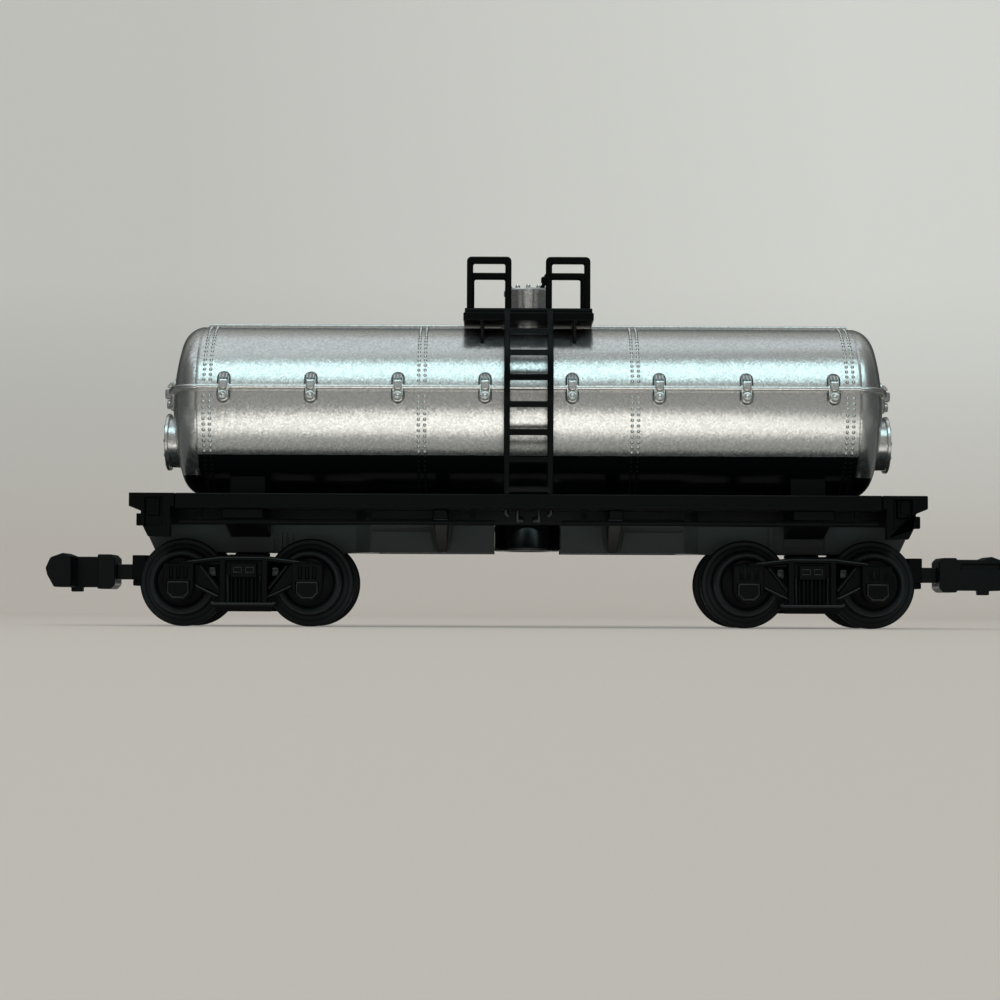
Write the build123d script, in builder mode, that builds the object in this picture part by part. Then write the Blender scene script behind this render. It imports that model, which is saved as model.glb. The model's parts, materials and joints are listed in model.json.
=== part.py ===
# Railway tank car, a small moulded model: one domed tank on a black frame with two swivelling trucks.
# Millimetres. +X runs along the car, +Z is up, and Z = 0 is the floor under the wheel flanges.

from build123d import *
from math import atan2, cos, degrees, radians, sin, sqrt
import os

os.makedirs("parts", exist_ok=True)

# Clearances
seat_gap = 0.02
running_gap = 0.06
plate_gap = 0.05

# Sides of the pins and bores that the running gear hides
pin_sides = 12

# Wheels and axles
flange_radius = 3.7
tread_radius = 2.7
axle_radius = 0.55
journal_radius = 0.4
wheel_back = 3.7
wheel_width = 2.2
flange_width = 0.4
journal_length = 0.9
wheelbase = 10.66

# Truck side frames
side_gap = 0.22
side_thickness = 0.95
side_web = 0.55
side_top = 5.87
chord_depth = 0.42
chord_flat = 1.9
chord_fall = 0.45
side_bottom = 1.6
lip_height = 0.35
lip_half_width = 2.7
lip_proud = 0.12
bar_half_width = 2.3
column_half_width = 2.0
column_width = 0.5
window_bottom = 2.6
slot_top = 5.1
slot_bottom = 3.35
leg_width = 0.3
spring_radius = 0.24
spring_pitch = 0.67
spring_count = 5
spring_seat = 4.05
bolster_end_half_width = 1.1
bolster_end_height = 1.2

# Journal boxes
box_half_width = 1.25
box_top = 5.2
box_round_height = 3.3
box_depth = 0.45
lid_half_width = 0.95
lid_bottom = 2.3
lid_height = 1.45
lid_proud = 0.2
box_rib_width = 0.25
box_rib_place = 0.6

# Truck bolsters, with the arm to the coupler pocket
truck_bolster_top = 6.0
truck_bolster_bottom = 4.2
truck_bolster_half_width = 1.35
centre_plate_radius = 1.5
arm_half_width = 1.9
arm_bottom = 4.6
pivot_distance = 7.9
pivot_radius = 0.45
pocket_wall = 0.5
pocket_half_width = 1.8
pocket_back = 1.7
pocket_mouth = 2.1
pocket_flange_length = 1.1
pocket_flange_lip = 0.4
cover_thickness = 0.5

# Couplers, with lengths from the pivot
coupler_height = 4.6
coupler_hub_radius = 1.1
shank_half_width = 0.65
shank_height = 1.3
back_plate_start = 3.65
back_plate_length = 1.5
back_plate_height = 2.95
back_plate_corner = 0.35
head_half_width = 1.75
head_height = 2.65
hook_arm_thickness = 0.7
nose_length = 2.2
nose_hump = 0.27
coupler_reach = 9.6
arm_slot_length = 3.3
arm_slot_height = 0.55
arm_slot_depth = 0.2
arm_nub_length = 1.0
arm_nub_drop = 0.38

# Kingpins
kingpin_radius = 0.8
kingpin_head_radius = 1.3
kingpin_head_thickness = 0.4
kingpin_grip = 1.6

# Tank; its length sets the places along the whole car
tank_radius = 7.3
tank_seat = 0.15
shell_half_length = 27.6
head_depth = 2.75
head_knuckle = 1.9
head_bands = 2
rail_height = 1.45
rail_width = 0.5
rail_proud = 0.45
bracket_count = 8
bracket_margin = 2.225
bracket_width = 1.05
bracket_length = 2.6
bracket_proud = 0.5
hump_proud = 0.3
eye_radius = 0.52
ridge_width = 1.0
ridge_height = 0.3
end_boss_radius = 2.45
end_boss_drop = 2.65
end_boss_proud = 0.65

# Frame under the tank
board_top = 11.0
board_thickness = 1.25
board_overrun = 1.55
board_outset = 1.5
board_inner = 4.6
truck_setback = 5.55
sill_bottom = 6.3
sill_overrun = 3.35
sill_toe = 0.8
sill_end_rise = 1.7
sill_shelf_height = 8.28
sill_narrow = 1.6
sill_wide = 2.4
sill_wide_half_length = 13.4
sill_taper = 1.2
sill_top_plate = 2.3
sill_wall = 0.6
panel_proud = 0.2
panel_margin = 0.15
panel_start = 2.85
panel_slope = 0.35
middle_panel_top = 8.6
outer_panel_top = 8.1
ledge_bottom = 8.45
ledge_top = 9.1
ledge_proud = 0.45
crossbearer_place = 7.25
crossbearer_width = 1.2
crossbearer_foot = 0.8
bolster_width = 3.4
bolster_root_bottom = 7.6
beam_tip = 0.8
beam_inset = 0.6
saddle_half_width = 1.5
saddle_reach = 4.5
outlet_radius = 2.2
outlet_flange_radius = 2.8
outlet_flange = 0.3
outlet_bore_radius = 1.87
outlet_depth = 2.2
outlet_floor = 0.6
outlet_rib = 0.6
pipe_radius = 0.24
pipe_inset = 0.85
pipe_inner_end = 2.8
pipe_end_margin = 0.25
hanger_width = 0.5
hanger_places = (4.6, 13.2)
hanger_end_margin = 1.95
foot_place = 1.62
foot_width = 0.45
foot_drop = 0.65
hook_place = 0.35
hook_width = 0.7
hook_drop = 1.1
hook_height = 0.6

# End platforms and corner steps
platform_nose = 3.75
platform_thickness = 1.1
end_beam_bottom = 8.3
end_beam_inner = 1.95
end_beam_thickness = 0.8
nose_underside = 9.5
step_start = 0.35
step_bottom = 7.4
step_thickness = 1.05
step_taper = 0.6
step_taper_height = 1.2
step_recess = 0.5
step_inner_rim = 0.6
step_outer_rim = 0.3
step_bottom_rim = 0.85
step_top_rim = 0.35
knob_length = 0.4
knob_height = 1.0
knob_width = 0.8

# Dome, its platform, railings and ladders
dome_radius = 2.0
dome_top = 28.6
cover_radius = 2.2
cover_rise = 0.5
valve_place = 1.4
valve_radius = 0.28
valve_height = 1.2
deck_half_length = 5.5
deck_half_width = 5.2
deck_base = 0.65
deck_lip = 0.4
deck_lip_inset = 0.12
deck_gap = 0.1
deck_hole_gap = 0.3
deck_foot_place = 3.9
deck_foot_thickness = 0.3
deck_foot_reach = 4.9
railing_inner = 1.45
railing_outer = 5.22
railing_inset = 0.6
railing_bar = 0.53
railing_top_bar = 0.6
railing_height = 4.4
railing_corner = 0.4
ladder_half_width = 2.05
ladder_bar = 0.5
ladder_inset = 0.35
ladder_foot_inset = 0.5
ladder_shoulder_inset = 0.55
ladder_shoulder_rise = 4.53
rung_heights = (11.4, 13.85, 16.15, 18.45, 20.7, 22.8, 24.7)

# Places worked out from the sizes above
axle_height = flange_radius
box_place = wheelbase / 2
side_inner = wheel_back + wheel_width + side_gap
side_outer = side_inner + side_thickness
board_half_length = shell_half_length + board_overrun
board_outer = tank_radius + board_outset
board_bottom = board_top - board_thickness
truck_centre = board_half_length - truck_setback
coupler_pivot = truck_centre + pivot_distance
sill_end = board_half_length + sill_overrun
sill_web_top = board_top - sill_top_plate
platform_bottom = board_top - platform_thickness
platform_start = board_half_length + seat_gap
platform_end = board_half_length + platform_nose
end_beam_start = board_half_length + end_beam_inner
end_beam_end = end_beam_start + end_beam_thickness
beam_tip_bottom = board_bottom - beam_tip
pipe_height = beam_tip_bottom - plate_gap - pipe_radius
pipe_place = board_outer - pipe_inset
beam_end = board_outer - beam_inset
tank_axis = board_top + tank_seat + tank_radius
deck_bottom = tank_axis + tank_radius + deck_gap
deck_top = deck_bottom + deck_base + deck_lip
railing_place = deck_half_width - railing_inset
railing_top = deck_top + railing_height
ladder_out = board_outer - ladder_inset
ladder_foot_out = board_outer - ladder_foot_inset
bracket_pitch = 2 * (shell_half_length - bracket_margin) / (bracket_count - 1)
rail_angle = degrees(atan2(rail_height, sqrt(tank_radius**2 - rail_height**2)))
tank_section = Plane(origin=(0, 0, tank_axis), x_dir=(0, 1, 0), z_dir=(1, 0, 0))


def write_piece(shape, name):
    """Label a finished piece and write it as one STEP file."""
    shape.label = name
    export_step(shape, f"parts/{name}.step")


def plate(face, outline, thickness):
    """A flat plate from the corners of its outline, drawn on a plane and raised from it."""
    with BuildPart() as made:
        with BuildSketch(face):
            with BuildLine():
                Polyline(*outline, outline[0])
            make_face()
        extrude(amount=thickness)
    return made.part


def tank_point(radius, angle, side):
    """A point of the tank's round section, at an angle above the level of its axis."""
    return (0, side * radius * cos(radians(angle)), tank_axis + radius * sin(radians(angle)))


# Handrail bracket: a plate with a raised hump above and an eye below, facing out of the tank
with BuildPart() as rail_bracket:
    with BuildSketch():
        Rectangle(bracket_width, bracket_length)
    extrude(amount=bracket_proud, both=True)
    with BuildSketch():
        with Locations((0, bracket_length / 2 - bracket_width * 0.65)):
            Rectangle(bracket_width * 0.85, bracket_width)
    extrude(amount=bracket_proud + hump_proud)
    with BuildSketch():
        with Locations((0, eye_radius - bracket_length / 2)):
            RegularPolygon(eye_radius, 6)
    extrude(amount=bracket_proud + hump_proud / 2)

# Tank shell with the moulded handrail, its brackets and the ridge along the top
rail_planes = [
    Plane(
        origin=tank_point(tank_radius, rail_angle, side),
        x_dir=(-side, 0, 0),
        z_dir=(0, side * cos(radians(rail_angle)), sin(radians(rail_angle))),
    )
    for side in (-1, 1)
]
with BuildPart() as tank_shell:
    with BuildSketch(tank_section):
        Circle(tank_radius)
    extrude(amount=shell_half_length, both=True)
    for rail_plane in rail_planes:
        with BuildSketch(rail_plane):
            Rectangle(2 * shell_half_length, rail_width)
        extrude(amount=rail_proud, both=True)
        with Locations(rail_plane):
            with GridLocations(bracket_pitch, 1, bracket_count, 1):
                add(rail_bracket.part)
    for side in (-1, 1):
        ridge_middle = side * (shell_half_length + deck_half_length + deck_gap) / 2
        ridge_length = shell_half_length - deck_half_length - deck_gap
        with BuildSketch(Plane.XY.offset(tank_axis + tank_radius - ridge_height)):
            with Locations((ridge_middle, 0)):
                Rectangle(ridge_length, ridge_width)
        extrude(amount=2 * ridge_height)
write_piece(tank_shell.part, "tank_shell")


# Tank heads: a dished end with a rounded knuckle, the handrail carried round it and a round boss
def head_outline(radius, depth, knuckle):
    """Half the section of a dished head: bands round the knuckle's arc, then a low crown arc and a flat."""
    reach = radius - knuckle
    crown = (reach**2 + depth**2 - knuckle**2) / (2 * (depth - knuckle))
    meeting = atan2(reach, crown - depth)
    outline = [(0, 0), (0, radius)]
    for band in range(1, head_bands + 1):
        angle = radians(90) + (meeting - radians(90)) * band / head_bands
        outline.append((knuckle * cos(angle), reach + knuckle * sin(angle)))
    flat = (depth - crown + crown * cos(meeting / 2), crown * sin(meeting / 2))
    return [*outline, flat, (flat[0], 0)]


wrap_outline = head_outline(
    (tank_radius + rail_proud) * cos(radians(rail_angle)), head_depth + rail_proud, head_knuckle + rail_proud
)
inner_outline = head_outline(tank_radius + seat_gap, head_depth + seat_gap, head_knuckle + seat_gap)
head_base = Plane(origin=(shell_half_length, 0, tank_axis), x_dir=(1, 0, 0), z_dir=(0, -1, 0))
wrap_base = Plane(
    origin=(shell_half_length, 0, tank_axis + rail_height - rail_width / 2), x_dir=(1, 0, 0), z_dir=(0, 0, 1)
)
head_bracket_plane = Plane(
    origin=(shell_half_length + head_depth - bracket_proud / 4, 0, tank_axis + rail_height),
    x_dir=(0, 1, 0),
    z_dir=(1, 0, 0),
)
with BuildPart() as tank_head:
    with BuildSketch(head_base):
        with BuildLine():
            Polyline(*head_outline(tank_radius, head_depth, head_knuckle), (0, 0))
        make_face()
    revolve(axis=Axis((shell_half_length, 0, tank_axis), (1, 0, 0)))
    with BuildSketch(wrap_base):
        for outline, mode in ((wrap_outline, Mode.ADD), (inner_outline, Mode.SUBTRACT)):
            with BuildLine():
                Polyline(*outline, (0, 0))
            make_face(mode=mode)
        mirror(about=Plane.XZ)
    extrude(amount=rail_width)
    with BuildSketch(Plane.YZ.offset(shell_half_length + head_depth / 2)):
        with Locations((0, tank_axis - end_boss_drop)):
            Circle(end_boss_radius)
    extrude(amount=head_depth / 2 + end_boss_proud)
    with Locations(head_bracket_plane):
        add(rail_bracket.part)
write_piece(tank_head.part, "tank_head_b")
write_piece(tank_head.part.mirror(Plane.YZ), "tank_head_a")

# Dome on the tank's top, and its bolted cover with a safety valve
with BuildPart() as dome:
    with BuildSketch(Plane.XY.offset(tank_axis)):
        Circle(dome_radius)
    extrude(amount=dome_top - tank_axis)
    with BuildSketch(tank_section):
        Circle(tank_radius + seat_gap)
    extrude(amount=2 * dome_radius, both=True, mode=Mode.SUBTRACT)
write_piece(dome.part, "dome")

with BuildPart() as dome_cover:
    with BuildSketch(Plane.XY.offset(dome_top)):
        Circle(cover_radius)
    extrude(amount=cover_rise)
    with BuildSketch(Plane.XY.offset(dome_top + cover_rise)):
        with Locations((valve_place, 0)):
            RegularPolygon(valve_radius, 8)
    extrude(amount=valve_height)
write_piece(dome_cover.part, "dome_cover")

# Platform round the dome: a plate under a slightly smaller lip, on two thin feet shaped to the tank
with BuildPart() as dome_platform:
    for low, thickness, inset in ((0, deck_base, 0), (deck_base, deck_lip, deck_lip_inset)):
        with BuildSketch(Plane.XY.offset(deck_bottom + low)):
            Rectangle(2 * (deck_half_length - inset), 2 * (deck_half_width - inset))
        extrude(amount=thickness)
    with BuildSketch(Plane.XY.offset(deck_bottom)):
        Circle(dome_radius + deck_hole_gap)
    extrude(amount=deck_base + deck_lip, mode=Mode.SUBTRACT)
    for place in (-deck_foot_place, deck_foot_place):
        with BuildSketch(tank_section.offset(place - deck_foot_thickness / 2)):
            with Locations((0, (tank_radius / 2 + deck_bottom - tank_axis) / 2)):
                Rectangle(2 * deck_foot_reach, deck_bottom - tank_axis - tank_radius / 2)
            Circle(tank_radius + seat_gap, mode=Mode.SUBTRACT)
        extrude(amount=deck_foot_thickness)
write_piece(dome_platform.part, "dome_platform")

# Railings: four hoops with rounded corners standing on the platform
with BuildPart() as railing:
    hoop_height = railing_top - deck_top
    hoop_width = railing_outer - railing_inner
    with BuildSketch(Plane.XZ.offset(railing_place - railing_bar / 2)):
        with Locations(((railing_inner + railing_outer) / 2, deck_top + hoop_height / 2)):
            Rectangle(hoop_width, hoop_height)
            Rectangle(hoop_width - 2 * railing_bar, hoop_height, mode=Mode.SUBTRACT)
        with Locations(((railing_inner + railing_outer) / 2, railing_top - railing_top_bar / 2)):
            Rectangle(hoop_width, railing_top_bar)
    extrude(amount=railing_bar)
    fillet(railing.edges().filter_by(Axis.Y).group_by(Axis.Z)[-1], railing_corner)
for end, along in (("a", -1), ("b", 1)):
    for face, side in (("near", -1), ("far", 1)):
        hoop = railing.part
        if along < 0:
            hoop = hoop.mirror(Plane.YZ)
        if side > 0:
            hoop = hoop.mirror(Plane.XZ)
        write_piece(hoop, f"railing_{face}_{end}")

# Ladders: two flat stiles bent round the tank, with the rungs left between cut-out windows
with BuildPart() as ladder:
    with BuildSketch(Plane.YZ):
        with BuildLine() as stile:
            bend = ThreePointArc(
                (-(deck_half_width + ladder_bar / 2 + seat_gap), deck_top - deck_lip),
                (ladder_shoulder_inset - ladder_out, tank_axis + ladder_shoulder_rise),
                (-ladder_out, tank_axis),
            )
            Line(bend @ 1, (-ladder_foot_out, board_top))
        trace(line_width=ladder_bar)
    extrude(amount=ladder_half_width, both=True)
    window_edges = (board_top - ladder_bar, *rung_heights, deck_top + ladder_bar)
    for low, high in zip(window_edges, window_edges[1:]):
        with BuildSketch(Plane.XZ.offset(deck_half_width)):
            with Locations((0, (low + high) / 2)):
                Rectangle(2 * (ladder_half_width - ladder_bar), high - low - ladder_bar)
        extrude(amount=ladder_out, mode=Mode.SUBTRACT)
write_piece(ladder.part, "ladder_near")
write_piece(ladder.part.mirror(Plane.XZ), "ladder_far")

# Running boards along both sides, with the ends of the ladder's stiles and two hooks showing below
with BuildPart() as running_board:
    with BuildSketch(Plane.XY.offset(board_bottom)):
        with Locations((0, -(board_inner + board_outer) / 2)):
            Rectangle(2 * board_half_length, board_outer - board_inner)
    extrude(amount=board_thickness)
    for way in (-1, 1):
        foot = [
            (way * (foot_place + foot_width), board_bottom),
            (way * (foot_place + foot_width), board_bottom - foot_drop / 2),
            (way * foot_place, board_bottom - foot_drop),
            (way * (foot_place - foot_width / 2), board_bottom - foot_drop),
            (way * foot_place, board_bottom - foot_drop / 2),
            (way * foot_place, board_bottom),
        ]
        hook = [
            (way * (hook_place + hook_width), board_bottom),
            (way * (hook_place + hook_width), board_bottom - hook_drop),
            (way * hook_place, board_bottom - hook_drop),
            (way * hook_place, board_bottom - hook_height),
            (way * (hook_place + hook_width / 2), board_bottom - hook_height),
            (way * (hook_place + hook_width / 2), board_bottom),
        ]
        add(plate(Plane.XZ.offset(ladder_foot_out - ladder_bar / 2), foot, ladder_bar))
        add(plate(Plane.XZ.offset(pipe_place - ladder_bar), hook, ladder_bar / 2))
write_piece(running_board.part, "running_board_near")
write_piece(running_board.part.mirror(Plane.XZ), "running_board_far")

# Centre sill: an open channel in the middle, a plain narrow sill over the trucks, and raised side panels
foot_half, root_half = crossbearer_foot / 2, crossbearer_width / 2
panel_low = sill_bottom + panel_margin
panel_end = sill_wide_half_length - panel_margin
sill_panels = (
    # how far it stands out, and its corners along the sill and in height
    (panel_proud, (
        (panel_start, panel_low),
        (crossbearer_place - root_half - panel_margin / 2, panel_low),
        (crossbearer_place - root_half - panel_slope, middle_panel_top),
        (panel_start, middle_panel_top),
    )),
    (panel_proud, (
        (crossbearer_place + root_half + panel_margin / 2, panel_low),
        (panel_end, panel_low),
        (panel_end, outer_panel_top),
        (crossbearer_place + root_half + panel_slope, outer_panel_top),
    )),
    (ledge_proud, (
        (crossbearer_place + root_half + panel_margin, ledge_bottom),
        (panel_end, ledge_bottom),
        (panel_end, ledge_top),
        (crossbearer_place + root_half + panel_margin, ledge_top),
    )),
)
truck_ribs = (
    # end, from and to along the car past the truck's centre, bottom and top
    (1, -1.7, 1.5, 6.9, bolster_root_bottom - plate_gap),
    (1, -3.0, -2.6, 6.4, 8.6),
    (1, 1.75, 2.2, 6.4, 8.6),
    (-1, -2.0, -1.3, 6.4, bolster_root_bottom - plate_gap),
    (-1, -2.7, -2.35, 6.4, 8.0),
    (-1, -3.1, -2.8, 6.4, 8.0),
    (-1, -3.6, -3.3, 6.4, 8.0),
)
with BuildPart() as sill_trim:
    for proud, corners in sill_panels:
        for way in (-1, 1):
            outline = [(way * along, height) for along, height in corners]
            add(plate(Plane.XZ.offset(sill_wide - seat_gap), outline, proud + seat_gap))
    for way, start, stop, low, high in truck_ribs:
        left, right = way * (truck_centre + start), way * (truck_centre + stop)
        outline = [(left, low), (right, low), (right, high), (left, high)]
        add(plate(Plane.XZ.offset(sill_narrow - seat_gap), outline, panel_proud + seat_gap))

with BuildPart() as centre_sill:
    with BuildSketch(Plane.XZ.offset(-sill_narrow)):
        with BuildLine():
            half_profile = Polyline(
                (0, sill_bottom),
                (sill_end - sill_toe, sill_bottom),
                (sill_end, sill_bottom + sill_end_rise),
                (sill_end, sill_shelf_height),
                (end_beam_start - seat_gap, sill_shelf_height),
                (end_beam_start - seat_gap, platform_bottom - seat_gap),
                (board_half_length, platform_bottom - seat_gap),
                (board_half_length, board_top),
                (0, board_top),
            )
            mirror(half_profile, about=Plane.YZ)
        make_face()
    extrude(amount=2 * sill_narrow)
    with BuildSketch(Plane.XY.offset(sill_bottom)):
        with BuildLine():
            quarter = Polyline(
                (sill_wide_half_length + sill_taper, 0),
                (sill_wide_half_length + sill_taper, sill_narrow),
                (sill_wide_half_length, sill_wide),
                (0, sill_wide),
            )
            mirror(quarter, about=Plane.YZ)
            mirror(about=Plane.XZ)
        make_face()
    extrude(amount=board_top - sill_bottom)
    add(sill_trim.part)
    add(sill_trim.part.mirror(Plane.XZ))
    with BuildSketch(Plane.XY.offset(sill_bottom)):
        Rectangle(2 * (sill_wide_half_length - sill_wall), 2 * (sill_wide - sill_wall))
        Rectangle(2 * (panel_start - panel_margin / 3), 4 * sill_wide)
    extrude(amount=sill_web_top - sill_bottom, mode=Mode.SUBTRACT)
    with BuildSketch(Plane.XY.offset(sill_bottom)):
        with Locations((-truck_centre, 0), (truck_centre, 0)):
            RegularPolygon(kingpin_radius + seat_gap, pin_sides, major_radius=False)
    extrude(amount=kingpin_grip, mode=Mode.SUBTRACT)
write_piece(centre_sill.part, "centre_sill")

# Bottom outlet: a round flanged cup under the tank, open from below, with a rib to each side of its opening
with BuildPart() as outlet:
    with BuildSketch(Plane.XY.offset(sill_web_top - outlet_depth)):
        Circle(outlet_radius)
    extrude(amount=outlet_depth)
    with BuildSketch(Plane.XY.offset(sill_web_top - outlet_depth)):
        Circle(outlet_flange_radius)
    extrude(amount=outlet_flange)
    with BuildSketch(Plane.XY.offset(sill_web_top - outlet_depth)):
        Rectangle(2 * (panel_start - panel_margin / 3 - seat_gap), outlet_rib)
    extrude(amount=outlet_depth)
    with BuildSketch(Plane.XY.offset(sill_web_top - outlet_depth)):
        Circle(outlet_bore_radius)
    extrude(amount=outlet_depth - outlet_floor, mode=Mode.SUBTRACT)
write_piece(outlet.part, "bottom_outlet")


# Cross beams from the sill out to the running boards, deep at the sill and shallow at the tip
def cross_beam(root, root_bottom, width, foot_width):
    """Both halves of one cross beam, at the origin, narrowing from its tip's height down to its foot."""
    with BuildPart() as beam:
        with BuildSketch(Plane.YZ.offset(-width / 2)):
            with BuildLine():
                Polyline(
                    (root + seat_gap, root_bottom),
                    (pipe_place - pipe_radius - plate_gap, beam_tip_bottom),
                    (beam_end, beam_tip_bottom),
                    (beam_end, board_bottom - seat_gap),
                    (board_inner - seat_gap, board_bottom - seat_gap),
                    (board_inner - seat_gap, board_top),
                    (root + seat_gap, board_top),
                    (root + seat_gap, root_bottom),
                )
            make_face()
            mirror(about=Plane.YZ)
        extrude(amount=width)
        with BuildSketch(Plane.XZ.offset(-beam_end)):
            with BuildLine():
                Polyline(
                    (-foot_width / 2, root_bottom),
                    (foot_width / 2, root_bottom),
                    (width / 2, beam_tip_bottom),
                    (width / 2, board_top),
                    (-width / 2, board_top),
                    (-width / 2, beam_tip_bottom),
                    (-foot_width / 2, root_bottom),
                )
            make_face()
        extrude(amount=2 * beam_end, mode=Mode.INTERSECT)
    return beam.part


crossbearer = cross_beam(sill_wide, sill_bottom, crossbearer_width, crossbearer_foot)
body_bolster = cross_beam(sill_narrow, bolster_root_bottom, bolster_width, bolster_width)
for end, side in (("a", -1), ("b", 1)):
    write_piece(Pos(side * crossbearer_place, 0, 0) * crossbearer, f"crossbearer_{end}")
    write_piece(Pos(side * truck_centre, 0, 0) * body_bolster, f"body_bolster_{end}")

# Saddles that fill the space between the bolsters and the round of the tank
for end, side in (("a", -1), ("b", 1)):
    with BuildPart() as saddle:
        with BuildSketch(tank_section.offset(side * truck_centre - saddle_half_width)):
            with Locations((0, (board_top + seat_gap - tank_axis) / 2)):
                Rectangle(2 * saddle_reach, tank_axis - board_top - seat_gap)
            Circle(tank_radius + seat_gap, mode=Mode.SUBTRACT)
        extrude(amount=2 * saddle_half_width)
    write_piece(saddle.part, f"saddle_{end}")

# Kingpins, held in the sill, with a head under each truck bolster
for end, side in (("a", -1), ("b", 1)):
    with BuildPart() as kingpin:
        with BuildSketch(Plane.XY.offset(truck_bolster_bottom - plate_gap - kingpin_head_thickness)):
            with Locations((side * truck_centre, 0)):
                RegularPolygon(kingpin_head_radius, 6)
        extrude(amount=kingpin_head_thickness)
        with BuildSketch(Plane.XY.offset(truck_bolster_bottom - plate_gap)):
            with Locations((side * truck_centre, 0)):
                RegularPolygon(kingpin_radius, pin_sides)
        extrude(amount=sill_bottom + kingpin_grip - truck_bolster_bottom)
    write_piece(kingpin.part, f"kingpin_{end}")

# Pipes under the running boards, hung from short straps
with BuildPart() as side_pipe:
    pipe_length = board_half_length - pipe_end_margin - pipe_inner_end
    last_hanger = board_half_length - hanger_end_margin
    for side in (-1, 1):
        with BuildSketch(Plane.YZ.offset(pipe_inner_end if side > 0 else -pipe_inner_end - pipe_length)):
            with Locations((-pipe_place, pipe_height)):
                RegularPolygon(pipe_radius, 8, rotation=22.5)
        extrude(amount=pipe_length)
        with BuildSketch(Plane.XY.offset(pipe_height)):
            with Locations(*((side * place, -pipe_place) for place in (*hanger_places, last_hanger))):
                Rectangle(hanger_width, pipe_radius)
        extrude(amount=board_bottom - seat_gap - pipe_height)
write_piece(side_pipe.part, "side_pipe_near")
write_piece(side_pipe.part.mirror(Plane.XZ), "side_pipe_far")

# End platforms: a plate with a sloped nose over an end beam, and a hollowed step at each corner
step_from = board_half_length + step_start
platform_profile = [
    (platform_start, board_top),
    (platform_end, board_top),
    (platform_end, platform_bottom),
    (end_beam_end, nose_underside),
    (end_beam_end, end_beam_bottom),
    (end_beam_start, end_beam_bottom),
    (end_beam_start, platform_bottom),
    (platform_start, platform_bottom),
]
step_profile = [
    (step_from, board_top - step_top_rim),
    (step_from, step_bottom),
    (end_beam_end - step_taper, step_bottom),
    (end_beam_end, step_bottom + step_taper_height),
    (end_beam_end, board_top - step_top_rim),
]
recess_left, recess_right = step_from + step_inner_rim, end_beam_end - step_outer_rim
recess_low, recess_high = step_bottom + step_bottom_rim, board_top - step_top_rim
step_hollow = [
    (recess_left, recess_low),
    (recess_right, recess_low),
    (recess_right, recess_high),
    (recess_left, recess_high),
]
ledge_middle = (recess_low + recess_high) / 2
step_ledge = [
    (recess_left + step_outer_rim, recess_high),
    (recess_left + step_outer_rim, ledge_middle - step_outer_rim),
    (recess_right - step_outer_rim, ledge_middle - step_outer_rim),
    (recess_right - step_outer_rim, ledge_middle),
    (recess_left + 2 * step_outer_rim, ledge_middle),
    (recess_left + 2 * step_outer_rim, recess_high),
]
with BuildPart() as step:
    add(plate(Plane.XZ.offset(board_outer - step_thickness), step_profile, step_thickness))
    add(plate(Plane.XZ.offset(board_outer - step_recess), step_hollow, step_recess), mode=Mode.SUBTRACT)
    add(plate(Plane.XZ.offset(board_outer - step_thickness), step_ledge, step_thickness - step_recess / 2))
    with BuildSketch(Plane.YZ.offset(end_beam_end)):
        with Locations((step_thickness - board_outer - knob_width / 2, end_beam_bottom + knob_height / 2)):
            Rectangle(knob_width, knob_height)
    extrude(amount=knob_length)
with BuildPart() as end_platform:
    add(plate(Plane.XZ.offset(-board_outer), platform_profile, 2 * board_outer))
    add(plate(Plane.XZ.offset(board_outer - step_recess), step_hollow, step_recess), mode=Mode.SUBTRACT)
    add(plate(Plane.XZ.offset(-board_outer), step_hollow, step_recess), mode=Mode.SUBTRACT)
    add(step.part)
    add(step.part.mirror(Plane.XZ))
write_piece(end_platform.part, "end_platform_b")
write_piece(end_platform.part.mirror(Plane.YZ), "end_platform_a")


# Wheelsets: two flanged wheels, turned from half a section, on an axle with thinner journals at its ends
def wheelset(place):
    """One axle with its wheels, at its place along the car. The table gives one wheel's section."""
    outer = wheel_back + wheel_width
    section = (
        # radius, distance from the middle of the axle
        (0, wheel_back),
        (flange_radius, wheel_back),
        (flange_radius, wheel_back + flange_width),
        (tread_radius, wheel_back + flange_width),
        (tread_radius, outer),
        (0, outer),
    )
    axle_line = Plane(origin=(0, 0, axle_height), x_dir=(1, 0, 0), z_dir=(0, 1, 0))
    with BuildPart() as axle:
        with BuildSketch(Plane.XY.offset(axle_height)):
            with BuildLine():
                Polyline(*section, section[0])
            make_face()
            mirror(about=Plane.XZ)
        revolve(axis=Axis((0, 0, axle_height), (0, 1, 0)))
        for radius, half_length in ((axle_radius, wheel_back), (journal_radius, outer + journal_length)):
            with BuildSketch(axle_line):
                RegularPolygon(radius, pin_sides)
            extrude(amount=half_length, both=True)
    return Pos(place, 0, 0) * axle.part


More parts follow.
